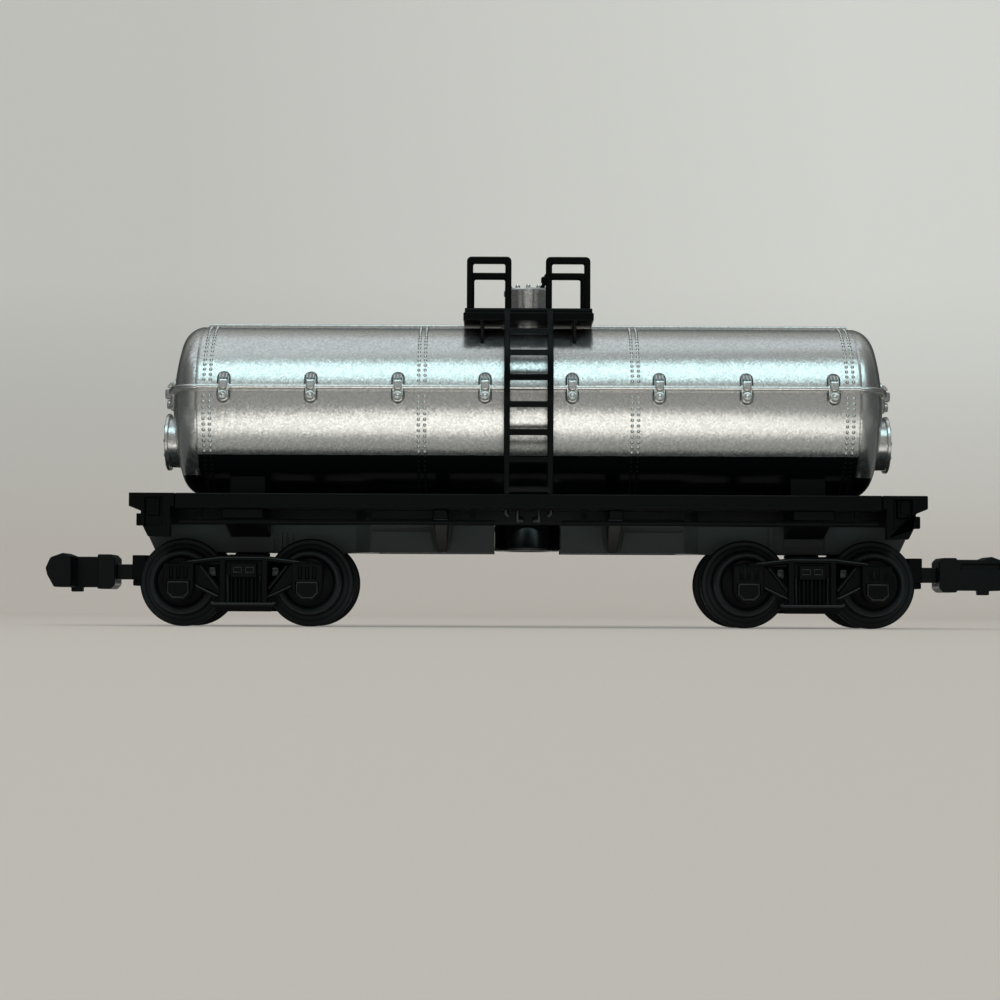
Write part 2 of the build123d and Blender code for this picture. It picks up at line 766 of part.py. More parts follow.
# Truck sides: a ribbed frame with a journal box at each axle and the springs standing out of its middle
frame_face = Plane.XZ.offset(side_inner)
chord_bottom = side_top - chord_depth
chord_end = side_top - chord_fall
lip_top = side_bottom + lip_height
leg_top = box_place - box_half_width - 2 * leg_width
leg_foot = box_place - box_half_width
side_ribs = (
    # how far it stands past the web, and the corners of its right half
    (side_thickness - side_web, ((0, side_top), (chord_flat, side_top), (box_place, chord_end),
        (box_place, chord_end - chord_depth), (chord_flat, chord_bottom), (0, chord_bottom))),
    (side_thickness - side_web, ((column_half_width - column_width, lip_top),
        (column_half_width - column_width, side_top - chord_depth / 2),
        (column_half_width, side_top - chord_depth / 2), (column_half_width, lip_top))),
    (side_thickness - side_web, ((leg_top, slot_top), (leg_top + leg_width, slot_top),
        (column_half_width + leg_width, slot_bottom),
        (column_half_width - column_width / 2, slot_bottom - leg_width - plate_gap))),
    (side_thickness - side_web, ((leg_foot, box_round_height), (leg_foot, box_round_height + leg_width),
        (column_half_width, window_bottom), (column_half_width, window_bottom - leg_width))),
    (side_thickness - side_web + lip_proud, ((0, side_bottom), (lip_half_width, side_bottom),
        (lip_half_width, lip_top), (0, lip_top))),
)
box_round = [
    (box_half_width * cos(radians(angle)), box_round_height - box_half_width * sin(radians(angle)))
    for angle in range(0, 181, 30)
]
box_outline = [(box_half_width, box_top), *box_round, (-box_half_width, box_top)]
lid_outline = [
    (-lid_half_width, lid_bottom + lid_height),
    (-lid_half_width, lid_bottom + lid_height / 3),
    (-lid_half_width / 2, lid_bottom),
    (lid_half_width / 2, lid_bottom),
    (lid_half_width, lid_bottom + lid_height / 3),
    (lid_half_width, lid_bottom + lid_height),
]
with BuildPart() as journal_box:
    add(plate(frame_face, box_outline, side_thickness + box_depth))
    add(plate(frame_face, lid_outline, side_thickness + box_depth + lid_proud))
    for rib_place in (-box_rib_place, 0, box_rib_place):
        with BuildSketch(frame_face):
            with Locations((rib_place, (lid_bottom + lid_height + box_top) / 2)):
                Rectangle(box_rib_width, box_top - lid_bottom - lid_height - 2 * box_rib_width)
        extrude(amount=side_thickness + box_depth + lid_proud / 2)

with BuildPart() as truck_side:
    with BuildSketch(frame_face):
        with BuildLine():
            right = Polyline(
                (0, side_top),
                (chord_flat, side_top),
                (box_place, chord_end),
                (box_place + box_half_width / 2, chord_end - chord_depth / 2),
                (box_place + box_half_width / 2, box_top - chord_depth),
                (box_place, box_round_height + box_half_width / 2),
                (leg_foot, box_round_height),
                (bar_half_width, window_bottom - leg_width),
                (bar_half_width, lip_top),
                (lip_half_width, lip_top),
                (lip_half_width, side_bottom),
                (0, side_bottom),
            )
            mirror(right, about=Plane.YZ)
        make_face()
        for way in (-1, 1):
            with BuildLine():
                Polyline(
                    (way * column_half_width, slot_top),
                    (way * leg_top, slot_top),
                    (way * column_half_width, slot_bottom),
                    (way * column_half_width, slot_top),
                )
            make_face(mode=Mode.SUBTRACT)
    extrude(amount=side_web)
    for proud, corners in side_ribs:
        for way in (-1, 1):
            add(plate(frame_face, [(way * along, height) for along, height in corners], side_web + proud))
    with BuildSketch(frame_face):
        with Locations((0, spring_seat + bolster_end_height / 2)):
            Rectangle(2 * bolster_end_half_width, bolster_end_height)
    extrude(amount=side_thickness)
    with BuildSketch(Plane.XY.offset(lip_top)):
        with Locations((0, -side_inner - side_web)):
            with GridLocations(spring_pitch, 1, spring_count, 1):
                RegularPolygon(spring_radius, 6)
    extrude(amount=spring_seat + spring_radius - lip_top)
    for way in (-1, 1):
        add(Pos(way * box_place, 0, 0) * journal_box.part)
    with BuildSketch(frame_face):
        with Locations((-box_place, axle_height), (box_place, axle_height)):
            RegularPolygon(journal_radius + running_gap, 8, major_radius=False)
    extrude(amount=journal_length - side_gap + running_gap, mode=Mode.SUBTRACT)


# Truck bolster: the cross member with the kingpin bore, and the arm to the coupler pocket
pocket_floor = coupler_height - shank_height / 2 - plate_gap
pocket_roof = coupler_height + shank_height / 2 + plate_gap
with BuildPart() as truck_bolster:
    with BuildSketch(Plane.XY.offset(truck_bolster_bottom)):
        Rectangle(2 * truck_bolster_half_width, 2 * (side_inner - seat_gap))
    extrude(amount=truck_bolster_top - truck_bolster_bottom)
    with BuildSketch(Plane.XY.offset(arm_bottom)):
        with Locations(((pivot_distance - pocket_back) / 2, 0)):
            Rectangle(pivot_distance - pocket_back, 2 * arm_half_width)
    extrude(amount=truck_bolster_top - arm_bottom)
    with BuildSketch(Plane.XY.offset(pocket_floor)):
        with Locations((pivot_distance + (pocket_mouth - pocket_back) / 2, 0)):
            Rectangle(pocket_mouth + pocket_back, 2 * pocket_half_width)
        with Locations((pivot_distance + pocket_mouth - pocket_flange_length / 2, 0)):
            Rectangle(pocket_flange_length, 2 * (pocket_half_width + pocket_flange_lip))
    extrude(amount=truck_bolster_top - pocket_floor)
    with BuildSketch(Plane.XY.offset(truck_bolster_top)):
        RegularPolygon(centre_plate_radius, pin_sides)
    extrude(amount=sill_bottom - plate_gap - truck_bolster_top)
    with BuildSketch(Plane.XY.offset(pocket_floor)):
        with Locations((pivot_distance + (pocket_mouth - pocket_back + pocket_wall) / 2, 0)):
            Rectangle(pocket_mouth + pocket_back - pocket_wall, 2 * (pocket_half_width - pocket_wall))
    extrude(amount=pocket_roof - pocket_floor, mode=Mode.SUBTRACT)
    with BuildSketch(Plane.XY.offset(pocket_floor)):
        with Locations((pivot_distance, 0)):
            RegularPolygon(pivot_radius, pin_sides)
    extrude(amount=pocket_roof - pocket_floor)
    with BuildSketch(Plane.XY.offset(truck_bolster_bottom)):
        RegularPolygon(kingpin_radius + running_gap, pin_sides, major_radius=False)
    extrude(amount=sill_bottom - truck_bolster_bottom, mode=Mode.SUBTRACT)

# Pocket cover: the plate that closes the coupler pocket from below
with BuildPart() as pocket_cover:
    with BuildSketch(Plane.XY.offset(pocket_floor - cover_thickness)):
        with Locations((pivot_distance + (pocket_mouth - pocket_back) / 2, 0)):
            Rectangle(pocket_mouth + pocket_back, 2 * pocket_half_width)
    extrude(amount=cover_thickness)

# Couplers: a hub on the pocket's post, a shank, a back plate, and one arm that carries a broad nose
head_bottom, head_top = coupler_height - head_height / 2, coupler_height + head_height / 2
plate_end = back_plate_start + back_plate_length
nose_start = coupler_reach - nose_length
plate_half_height = back_plate_height / 2
back_plate_profile = [
    (back_plate_start + back_plate_corner, coupler_height - plate_half_height),
    (plate_end, coupler_height - plate_half_height),
    (plate_end, coupler_height + plate_half_height),
    (back_plate_start + back_plate_corner, coupler_height + plate_half_height),
    (back_plate_start, coupler_height + plate_half_height - back_plate_corner),
    (back_plate_start, coupler_height - plate_half_height + back_plate_corner),
]
nose_profile = [
    (nose_start, head_bottom),
    (coupler_reach - nose_length / 3, head_bottom),
    (coupler_reach - nose_length * 0.07, coupler_height - head_height * 0.11),
    (coupler_reach, coupler_height + head_height * 0.11),
    (coupler_reach - nose_length * 0.18, head_top - nose_hump / 2),
    (coupler_reach - nose_length / 3, head_top),
    (coupler_reach - nose_length * 0.68, head_top + nose_hump),
    (nose_start, head_top),
]
arm_profile = [
    (back_plate_start + back_plate_corner, head_bottom),
    (nose_start + seat_gap, head_bottom),
    (nose_start + seat_gap, head_top),
    (back_plate_start + back_plate_corner, head_top),
]
slot_end = coupler_reach - nose_length / 3
slot_low = coupler_height + head_height * 0.15
arm_slot = [
    (slot_end - arm_slot_length, slot_low),
    (slot_end, slot_low),
    (slot_end, slot_low + arm_slot_height),
    (slot_end - arm_slot_length, slot_low + arm_slot_height),
]
arm_nub = [
    (nose_start - arm_nub_length / 2, head_bottom - arm_nub_drop),
    (nose_start + arm_nub_length / 2, head_bottom - arm_nub_drop),
    (nose_start + arm_nub_length / 2, head_bottom + seat_gap),
    (nose_start - arm_nub_length / 2, head_bottom + seat_gap),
]
with BuildPart() as coupler:
    with BuildSketch(Plane.XY.offset(coupler_height - shank_height / 2)):
        RegularPolygon(coupler_hub_radius, pin_sides)
        with Locations((back_plate_start / 2, 0)):
            Rectangle(back_plate_start, 2 * shank_half_width)
        RegularPolygon(pivot_radius + running_gap, pin_sides, major_radius=False, mode=Mode.SUBTRACT)
    extrude(amount=shank_height)
    with BuildSketch(Plane.XY.offset(coupler_height - shank_height / 2)):
        with Locations((back_plate_start, 0)):
            Rectangle(back_plate_corner, 2 * shank_half_width)
    extrude(amount=shank_height)
    add(plate(Plane.XZ.offset(-head_half_width), back_plate_profile, 2 * head_half_width))
    add(plate(Plane.XZ.offset(-head_half_width), nose_profile, 2 * head_half_width))
    add(plate(Plane.XZ.offset(head_half_width - hook_arm_thickness), arm_profile, hook_arm_thickness))
    add(plate(Plane.XZ.offset(head_half_width - hook_arm_thickness), arm_nub, hook_arm_thickness))
    add(plate(Plane.XZ.offset(head_half_width - arm_slot_depth), arm_slot, arm_slot_depth), mode=Mode.SUBTRACT)

# The running gear, placed at each end
half_turn = Rot(0, 0, 180)
for end, side in (("a", -1), ("b", 1)):
    turned = half_turn if side < 0 else Rot(0, 0, 0)
    centre = Pos(side * truck_centre, 0, 0)
    for row, way in (("inner", -side), ("outer", side)):
        write_piece(wheelset(side * truck_centre + way * box_place), f"wheelset_{row}_{end}")
    write_piece(centre * truck_side.part, f"truck_side_near_{end}")
    write_piece(centre * truck_side.part.mirror(Plane.XZ), f"truck_side_far_{end}")
    write_piece(centre * turned * truck_bolster.part, f"truck_bolster_{end}")
    write_piece(centre * turned * pocket_cover.part, f"pocket_cover_{end}")
    write_piece(Pos(side * coupler_pivot, 0, 0) * turned * coupler.part, f"coupler_{end}")
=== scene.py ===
# %% [markdown]
# # A small railway tank car
# The real object is a moulded model about 82 mm long: a silver tank on a black underframe, with two trucks and
# their hooked couplers below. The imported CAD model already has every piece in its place, but with flat facets
# and no finish. This notebook keeps those places, gives the pieces their finish, and makes the round and
# riveted ones again as smooth surfaces, because their highlights are what the eye sees first.

import json
from functools import partial
from math import radians

import bmesh
import bpy
import numpy as np
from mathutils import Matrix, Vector

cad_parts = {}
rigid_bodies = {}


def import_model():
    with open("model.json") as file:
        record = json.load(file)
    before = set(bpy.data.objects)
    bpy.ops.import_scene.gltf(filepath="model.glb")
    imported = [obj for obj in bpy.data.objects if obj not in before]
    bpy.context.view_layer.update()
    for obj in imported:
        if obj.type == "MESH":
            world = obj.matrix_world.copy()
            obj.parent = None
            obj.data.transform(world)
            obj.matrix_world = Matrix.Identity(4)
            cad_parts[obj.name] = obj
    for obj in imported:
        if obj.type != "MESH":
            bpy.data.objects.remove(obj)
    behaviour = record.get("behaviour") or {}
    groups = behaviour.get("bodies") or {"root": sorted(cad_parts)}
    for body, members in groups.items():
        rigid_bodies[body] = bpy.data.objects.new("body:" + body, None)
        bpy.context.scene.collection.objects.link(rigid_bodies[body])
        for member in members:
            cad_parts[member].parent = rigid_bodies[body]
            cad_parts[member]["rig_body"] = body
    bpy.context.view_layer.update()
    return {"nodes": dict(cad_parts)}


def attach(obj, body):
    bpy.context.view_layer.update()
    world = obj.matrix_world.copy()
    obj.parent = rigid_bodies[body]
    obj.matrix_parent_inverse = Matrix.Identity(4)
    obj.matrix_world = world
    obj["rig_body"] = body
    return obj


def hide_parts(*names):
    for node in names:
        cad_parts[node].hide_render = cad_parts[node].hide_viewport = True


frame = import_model()

# %% [markdown]
# ## Sizes
# The model is drawn in millimetres, as its source is, and scaled to metres when a mesh is made. X runs along the
# car, -Y is the near side and Z is up. These sizes repeat the source's own, because a new piece has to lie
# exactly on the CAD one that it stands for. Other sizes are defined where they are first needed.

# %% Sizes that several pieces share
MM = 0.001
TANK_RADIUS = 7.3
TANK_AXIS = 18.45
SHELL_HALF = 27.6
RAIL_HEIGHT = 1.45
FLANGE_RADIUS = 3.7
TRUCK_CENTRE = 23.6
HALF_WHEELBASE = 5.33
ENDS = ((-1, "a"), (1, "b"))
SIDES = ((-1, "near"), (1, "far"))
RAIL_ANGLE = np.arcsin(RAIL_HEIGHT / TANK_RADIUS)
print("handrail stands", round(float(np.degrees(RAIL_ANGLE)), 1), "degrees above the tank's axis")

# %% [markdown]
# ## Surfaces from grids
# Wheels, bars, rivets and pads are all surfaces with a simple rule. They could be put together from Blender's
# primitives by hand, but a grid of points worked out by a formula states the rule itself, and changes with one
# number. Neighbouring points make four-sided faces. Points that coincide at poles and seams are merged, so that
# each surface is closed.

# %% Turn grids of points into faces
def quads_of(rows, columns, wrap=True):
    """Corner numbers of each cell: (i, j), (i+1, j), (i+1, j+1), (i, j+1), where j may close on itself."""
    i, j = np.meshgrid(np.arange(rows - 1), np.arange(columns if wrap else columns - 1), indexing="ij")
    k = (j + 1) % columns
    corners = [i * columns + j, (i + 1) * columns + j, (i + 1) * columns + k, i * columns + k]
    return np.stack(corners, -1).reshape(-1, 4)


def mesh_of(grids):
    """One mesh from grids shaped (rows, columns, 3), in millimetres, each of which closes round its columns."""
    starts = np.cumsum([0, *(grid.shape[0] * grid.shape[1] for grid in grids)])
    corners = np.vstack([grid.reshape(-1, 3) for grid in grids]) * MM
    faces = np.vstack([quads_of(*grid.shape[:2]) + start for grid, start in zip(grids, starts)])
    mesh = bpy.data.meshes.new("grids")
    mesh.vertices.add(len(corners))
    mesh.vertices.foreach_set("co", corners.ravel())
    mesh.loops.add(faces.size)
    mesh.loops.foreach_set("vertex_index", faces.ravel())
    mesh.polygons.add(len(faces))
    mesh.polygons.foreach_set("loop_start", np.arange(0, faces.size, 4))
    mesh.update(calc_edges=True)
    return mesh


print("a grid of 4 by 6 points makes", len(quads_of(4, 6)), "faces")

# %% Turn faces into a finished object
SAME_POINT = 1e-7
NO_LENGTH = 1e-8


def put_in_scene(name, data):
    """A new object at the origin, which shows a mesh, a lamp or a camera."""
    obj = bpy.data.objects.new(name, data)
    bpy.context.scene.collection.objects.link(obj)
    return obj


def dress(name, work, sharp, material, body, replaces):
    """Smooth shading with crisp turns above the sharp angle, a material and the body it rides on."""
    mesh = bpy.data.meshes.new(name)
    work.to_mesh(mesh)
    work.free()
    mesh.shade_smooth()
    mesh.set_sharp_from_angle(angle=radians(sharp))
    mesh.materials.append(material)
    obj = put_in_scene(name, mesh)
    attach(obj, body)
    if replaces:
        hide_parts(*replaces)
    print(name, len(mesh.polygons), "faces on", body)


def make_piece(name, grids, body, material, replaces=(), sharp=32):
    """Joins grids into one object, after its doubled points are merged and its faces turned outwards."""
    raw = mesh_of(grids)
    work = bmesh.new()
    work.from_mesh(raw)
    bpy.data.meshes.remove(raw)
    bmesh.ops.remove_doubles(work, verts=work.verts, dist=SAME_POINT)
    bmesh.ops.dissolve_degenerate(work, dist=NO_LENGTH, edges=work.edges)
    bmesh.ops.recalc_face_normals(work, faces=work.faces)
    dress(name, work, sharp, material, body, replaces)


print("points closer than", SAME_POINT, "m become one")

# %% Turned forms
AXES = {
    # the way along the axis, and the two ways across it
    "x": np.array([[1, 0, 0], [0, 1, 0], [0, 0, 1]], float),
    "y": np.array([[0, 1, 0], [0, 0, 1], [1, 0, 0]], float),
    "z": np.array([[0, 0, 1], [1, 0, 0], [0, 1, 0]], float),
}


def round_angles(count):
    """Angles that go once round, without a last one that repeats the first."""
    return np.linspace(0, 2 * np.pi, count, endpoint=False)


def turned(profile, centre, axis, segments=96):
    """A turned form: a pair (a, r) of the profile gives the ring centre + a*axis + r*(cos t, sin t)."""
    profile = np.asarray(profile, float)
    along, side, up = AXES[axis]
    t = round_angles(segments)[:, None]
    ring = np.cos(t) * side + np.sin(t) * up
    return np.asarray(centre) + profile[:, 0, None, None] * along + profile[:, 1, None, None] * ring


print("a turned disc has the shape", turned([(0, 0), (0, 1)], (0, 0, 0), "z").shape)


# %% Swept and stacked forms
def capped(rings):
    """Adds the middle of the first ring before it and that of the last ring after it, so that both ends close."""
    first, last = (np.repeat(end.mean(1, keepdims=True), rings.shape[1], axis=1) for end in (rings[:1], rings[-1:]))
    return np.concatenate([first, rings, last])


def swept(path, across, up, outline):
    """A bar: the outline (u, v) stands at each point of the path as u*across + v*up. Its ends close."""
    path, outline = np.asarray(path, float), np.asarray(outline, float)
    across, up = (np.broadcast_to(np.asarray(way, float), path.shape) for way in (across, up))
    return capped(path[:, None] + outline[None, :, :1] * across[:, None] + outline[None, :, 1:] * up[:, None])


def stacked(outline_of, half_sizes, levels, middle=(0, 0)):
    """A moulded pad: each level (height, inset) is the outline of the half sizes less the inset, at that height."""
    rings = []
    for height, inset in levels:
        outline = outline_of(*(size - inset for size in half_sizes)) + np.asarray(middle)
        rings.append(np.column_stack([outline, np.full(len(outline), height)]))
    return capped(np.array(rings))


def in_place(local, origin, ways):
    """Sets local points (x, y, z) at an origin with ways (a, b, c) of their own: origin + x*a + y*b + z*c."""
    return np.asarray(origin, float) + local @ np.asarray(ways, float)


BAR_END = [(0, 0), (1, 0), (0, 1)]
print("a three-sided bar has the shape", swept([(0, 0, 0), (1, 0, 0)], (0, 1, 0), (0, 0, 1), BAR_END).shape)


# %% Outlines: slot, rounded box and arc
def stadium(half_width, half_length, count=9):
    """A slot-shaped outline: two half circles of radius half_width, joined by straight sides."""
    t = np.linspace(0, np.pi, count)
    top = np.stack([half_width * np.cos(t), half_length - half_width + half_width * np.sin(t)], -1)
    return np.concatenate([top, -top])


def rounded_box(half_width, half_length, corner, count=4):
    """A rectangle's outline with quarter circles at its corners."""
    t = np.linspace(0, np.pi / 2, count)
    quarter = np.stack([np.cos(t), np.sin(t)], -1) * corner
    inner = np.array([half_width - corner, half_length - corner])
    first = quarter + inner
    second = np.stack([-quarter[::-1, 0] - inner[0], quarter[::-1, 1] + inner[1]], -1)
    return np.concatenate([first, second, -first, -second])


def arc(centre, radius, start, stop, count):
    """Points on a circular arc between two angles in degrees: centre + radius * (cos t, sin t)."""
    t = np.radians(np.linspace(start, stop, count))
    return np.stack([centre[0] + radius * np.cos(t), centre[1] + radius * np.sin(t)], -1)


print("outlines:", ", ".join(f.__name__ for f in (stadium, rounded_box, arc)))

# %% [markdown]
# ## Shared effects
# Real paint and plastic are never one even colour. Pictures could bring that in, but they would stretch over
# these shapes, so patterns worked out from the place on the piece are used instead. An effect that several
# finishes share is a node group, built once. The flake group breaks a surface into tiny tilted specks, as the
# metal in silver paint does. The moulding group gives plastic its fine grain and the faint dust that keeps
# black from looking flat.

# %% Adding nodes and working out numbers
def feed(tree, node, sockets):
    """Fills each named socket of a node: a (node, output) pair becomes a link, and anything else a value."""
    for socket, source in sockets.items():
        if isinstance(source, tuple) and hasattr(source[0], "outputs"):
            tree.links.new(source[0].outputs[source[1]], node.inputs[socket])
        else:
            node.inputs[socket].default_value = source
    return node


def add(tree, kind, sockets=None, **settings):
    """A new node with its settings and filled sockets."""
    node = tree.nodes.new(kind)
    for key, value in settings.items():
        setattr(node, key, value)
    return feed(tree, node, sockets or {})


def maths(tree, operation, *values):
    """A number worked out from others, as a (node, output) pair."""
    return add(tree, "ShaderNodeMath", dict(enumerate(values)), operation=operation), 0


def vector_maths(tree, operation, *values):
    """A vector worked out from others, or its length. SCALE takes a vector and a number."""
    places = (0, "Scale") if operation == "SCALE" else range(len(values))
    node = add(tree, "ShaderNodeVectorMath", dict(zip(places, values)), operation=operation)
    return node, ("Value" if operation == "LENGTH" else "Vector")


def ramp(tree, value, first, last, low=0.0, high=1.0, **settings):
    """A number that goes from low to high while the value goes from first to last."""
    limits = {"Value": value, "From Min": first, "From Max": last, "To Min": low, "To Max": high}
    return add(tree, "ShaderNodeMapRange", limits, **settings), 0


print("number tools:", ", ".join(f.__name__ for f in (feed, add, maths, vector_maths, ramp)))


# %% Blends, places and groups
def mixed(tree, factor, first, second, kind="Color"):
    """A blend of two colours or two vectors, each of which may be a value or a pair."""
    node = add(tree, "ShaderNodeMix", data_type={"Color": "RGBA", "Vector": "VECTOR"}[kind])
    inputs = {socket.identifier: number for number, socket in enumerate(node.inputs)}
    outputs = {socket.identifier: number for number, socket in enumerate(node.outputs)}
    feed(tree, node, {inputs["Factor_Float"]: factor, inputs[f"A_{kind}"]: first, inputs[f"B_{kind}"]: second})
    return node, outputs[f"Result_{kind}"]


def place_on_piece(tree):
    """The place on the piece in its Object coordinates, as a pair and as a node that gives X, Y and Z apart."""
    spot = add(tree, "ShaderNodeTexCoord"), "Object"
    return spot, add(tree, "ShaderNodeSeparateXYZ", {0: spot})


def new_group(name, inputs, outputs):
    """A shader node group with named number inputs, and named outputs of the type Float or Vector."""
    group = bpy.data.node_groups.new(name, "ShaderNodeTree")
    for label, default in inputs.items():
        socket = group.interface.new_socket(name=label, in_out="INPUT", socket_type="NodeSocketFloat")
        socket.default_value = default
    for label, kind in outputs.items():
        group.interface.new_socket(name=label, in_out="OUTPUT", socket_type=f"NodeSocket{kind}")
    return group, group.nodes.new("NodeGroupInput"), group.nodes.new("NodeGroupOutput")


print("blend tools:", ", ".join(f.__name__ for f in (mixed, place_on_piece, new_group)))

# %% Metal flake, from cells of random tilt
HALF_GREY = (0.5, 0.5, 0.5)
flake_group, given, result = new_group(
    "Metal flake",
    {"Scale": 5000.0, "Tilt": 0.25, "Cloud Scale": 900.0},
    {"Speck": "Float", "Cloud": "Float", "Normal": "Vector"},
)
spot = add(flake_group, "ShaderNodeTexCoord"), "Object"
cells = add(flake_group, "ShaderNodeTexVoronoi", {"Vector": spot, "Scale": (given, "Scale")})
cloud = add(flake_group, "ShaderNodeTexNoise", {"Vector": spot, "Scale": (given, "Cloud Scale"), "Detail": 3.0})
centred = vector_maths(flake_group, "SUBTRACT", (cells, "Color"), HALF_GREY)
tilted = vector_maths(flake_group, "SCALE", centred, (given, "Tilt"))
surface = add(flake_group, "ShaderNodeNewGeometry"), "Normal"
leaning = vector_maths(flake_group, "ADD", surface, tilted)
unit = vector_maths(flake_group, "NORMALIZE", leaning)
split = add(flake_group, "ShaderNodeSeparateColor", {"Color": (cells, "Color")})
feed(flake_group, result, {"Speck": (split, 0), "Cloud": (cloud, 0), "Normal": unit})
print("Metal flake has", len(flake_group.nodes), "nodes")

# %% Moulded grain, from two sizes of noise, with dust on what faces up
DUST_START, DUST_FULL = 0.2, 1.0  # the upward part of the surface's normal, where dust begins and is thickest
grain_group, given, result = new_group(
    "Moulded grain",
    {"Grain Scale": 7000.0, "Dust Scale": 450.0, "Dust Amount": 0.5},
    {"Grain": "Float", "Dust": "Float"},
)
spot = add(grain_group, "ShaderNodeTexCoord"), "Object"
fine = add(grain_group, "ShaderNodeTexNoise", {"Vector": spot, "Scale": (given, "Grain Scale"), "Detail": 2.0})
broad = add(grain_group, "ShaderNodeTexNoise", {"Vector": spot, "Scale": (given, "Dust Scale"), "Detail": 5.0})
surface = add(grain_group, "ShaderNodeNewGeometry"), "Normal"
facing = add(grain_group, "ShaderNodeSeparateXYZ", {0: surface})
upward = ramp(grain_group, (facing, "Z"), DUST_START, DUST_FULL)
settled = maths(grain_group, "MULTIPLY", upward, (broad, 0))
dusty = maths(grain_group, "MULTIPLY", settled, (given, "Dust Amount"))
feed(grain_group, result, {"Grain": (fine, 0), "Dust": dusty})
print("Moulded grain has", len(grain_group.nodes), "nodes")

# %% [markdown]
# ## Masks
# A finish may change at a known place: at a height, or at a distance from an axle. Separate pieces or painted
# pictures could show that, but a mask worked out from the place on the piece is sharp at any distance and needs
# no seams. Each mask is a product of ramps, and stays with its piece when the piece moves. These masks paint
# shade on the sill's web and round the tank's brackets, and light on the wheels' rings.

# %% Mask of the painted shade on the sill's web
PANEL_TOP = 8.6
PANEL_BLUR = 0.08


def ramp_product(tree, steps, product=None, **settings):
    """Multiplies ramps (value, first, last, low, high), whose first and last are in millimetres."""
    for value, first, last, low, high in steps:
        level = ramp(tree, value, first * MM, last * MM, low, high, **settings)
        product = maths(tree, "MULTIPLY", product, level) if product else level
    return product


def above_panels(tree):
    """A mask that is 1 above the sill's side panels, where the shade below the boards is painted on."""
    _, parts = place_on_piece(tree)
    return ramp_product(tree, [((parts, "Z"), PANEL_TOP, PANEL_TOP + PANEL_BLUR, 0.0, 1.0)])


print("the sill darkens above", PANEL_TOP, "mm")

# %% Mask of the painted light on the wheels' outer rings
# painted light: the rings are lighter as if lit by the floor, with painted shade at the edge and in two grooves
TYRE_INNER, TYRE_BLUR = 2.15, 0.1
TYRE_EDGE, EDGE_WIDTH, EDGE_LEVEL = 3.6, 0.12, 0.25
TYRE_GROOVES = ((2.78, 0.15), (3.2, 0.4))  # radius, and the mask's level there
GROOVE_HALF = (0.03, 0.12)


def tyre_light_mask(tree):
    """A mask of painted light that is 1 on a wheel's outer rings, by the distance from its axle at rest.

    The wheels lie alike to both sides, so the way along the car is u = abs(abs(abs(x) - truck) - half wheelbase).
    """
    _, parts = place_on_piece(tree)
    along = parts, "X"
    for fold in (0.0, TRUCK_CENTRE * MM, HALF_WHEELBASE * MM):
        along = maths(tree, "ABSOLUTE", maths(tree, "SUBTRACT", along, fold))
    up = maths(tree, "SUBTRACT", (parts, "Z"), FLANGE_RADIUS * MM)
    flat = add(tree, "ShaderNodeCombineXYZ", {"X": along, "Z": up}), 0
    radius = vector_maths(tree, "LENGTH", flat)
    steps = [
        (radius, TYRE_INNER - TYRE_BLUR, TYRE_INNER + TYRE_BLUR, 0.0, 1.0),
        (radius, TYRE_EDGE - EDGE_WIDTH, TYRE_EDGE, 1.0, EDGE_LEVEL),
    ]
    for groove, level in TYRE_GROOVES:
        beside = maths(tree, "ABSOLUTE", maths(tree, "SUBTRACT", radius, groove * MM))
        steps.append((beside, *GROOVE_HALF, level, 1.0))
    return ramp_product(tree, steps)


print("a wheel is greyer from", TYRE_INNER, "to", TYRE_EDGE, "mm")

# %% Mask of the painted shade round the handrails' brackets
FLANK_FOOT, FLANK_TOP = (0.03, 0.1), (0.42, 0.5)  # heights over the tank between which the mask comes and goes
BESIDE_RAIL, BRACKET_REACH = (0.26, 0.32), (1.55, 1.65)  # the same for the distance from the handrail
# how dark the painted shade makes the brackets' flanks
BRACKET_SHADE_LEVEL = 0.8


def bracket_shade_mask(tree, spot, parts):
    """Painted shade on the brackets' flanks and low caps, by distance from the tank's axis and from the handrail."""
    lowered = vector_maths(tree, "ADD", spot, (0.0, 0.0, -TANK_AXIS * MM))
    reach = vector_maths(tree, "LENGTH", vector_maths(tree, "MULTIPLY", lowered, (0.0, 1.0, 1.0)))
    offset = maths(tree, "SUBTRACT", (parts, "Z"), (TANK_AXIS + RAIL_HEIGHT) * MM)
    apart = maths(tree, "ABSOLUTE", offset)
    return ramp_product(tree, (
        (reach, *(TANK_RADIUS + height for height in FLANK_FOOT), 0.0, BRACKET_SHADE_LEVEL),
        (reach, *(TANK_RADIUS + height for height in FLANK_TOP), 1.0, 0.0),
        (apart, *BESIDE_RAIL, 0.0, 1.0),
        (apart, *BRACKET_REACH, 1.0, 0.0),
    ))


print("the brackets darken between", FLANK_FOOT[0], "and", FLANK_TOP[1], "mm above the tank")

# %% [markdown]
# ## Silver paint
# The tank is sprayed silver over plastic. A plain grey metal would mirror the room like chrome, so the specks of
# the flake group vary its colour, roughness, metal and normal. Below a straight line the paint is gloss black,
# and painted shade darkens the flanks round the handrails' brackets. Both are masks in the same material,
# because the moulding runs on without a seam.

# %% The black band
BAND_BLACK = (0.006, 0.007, 0.008, 1)
BAND_ROUGHNESS = 0.16
BAND_BLUR = 0.02
BAND_WAVER = 0.04
WAVER_SCALE = 1400.0
# painted shade round the handrails' brackets
BRACKET_PAINTED_SHADE = (0.12, 0.13, 0.125, 1)


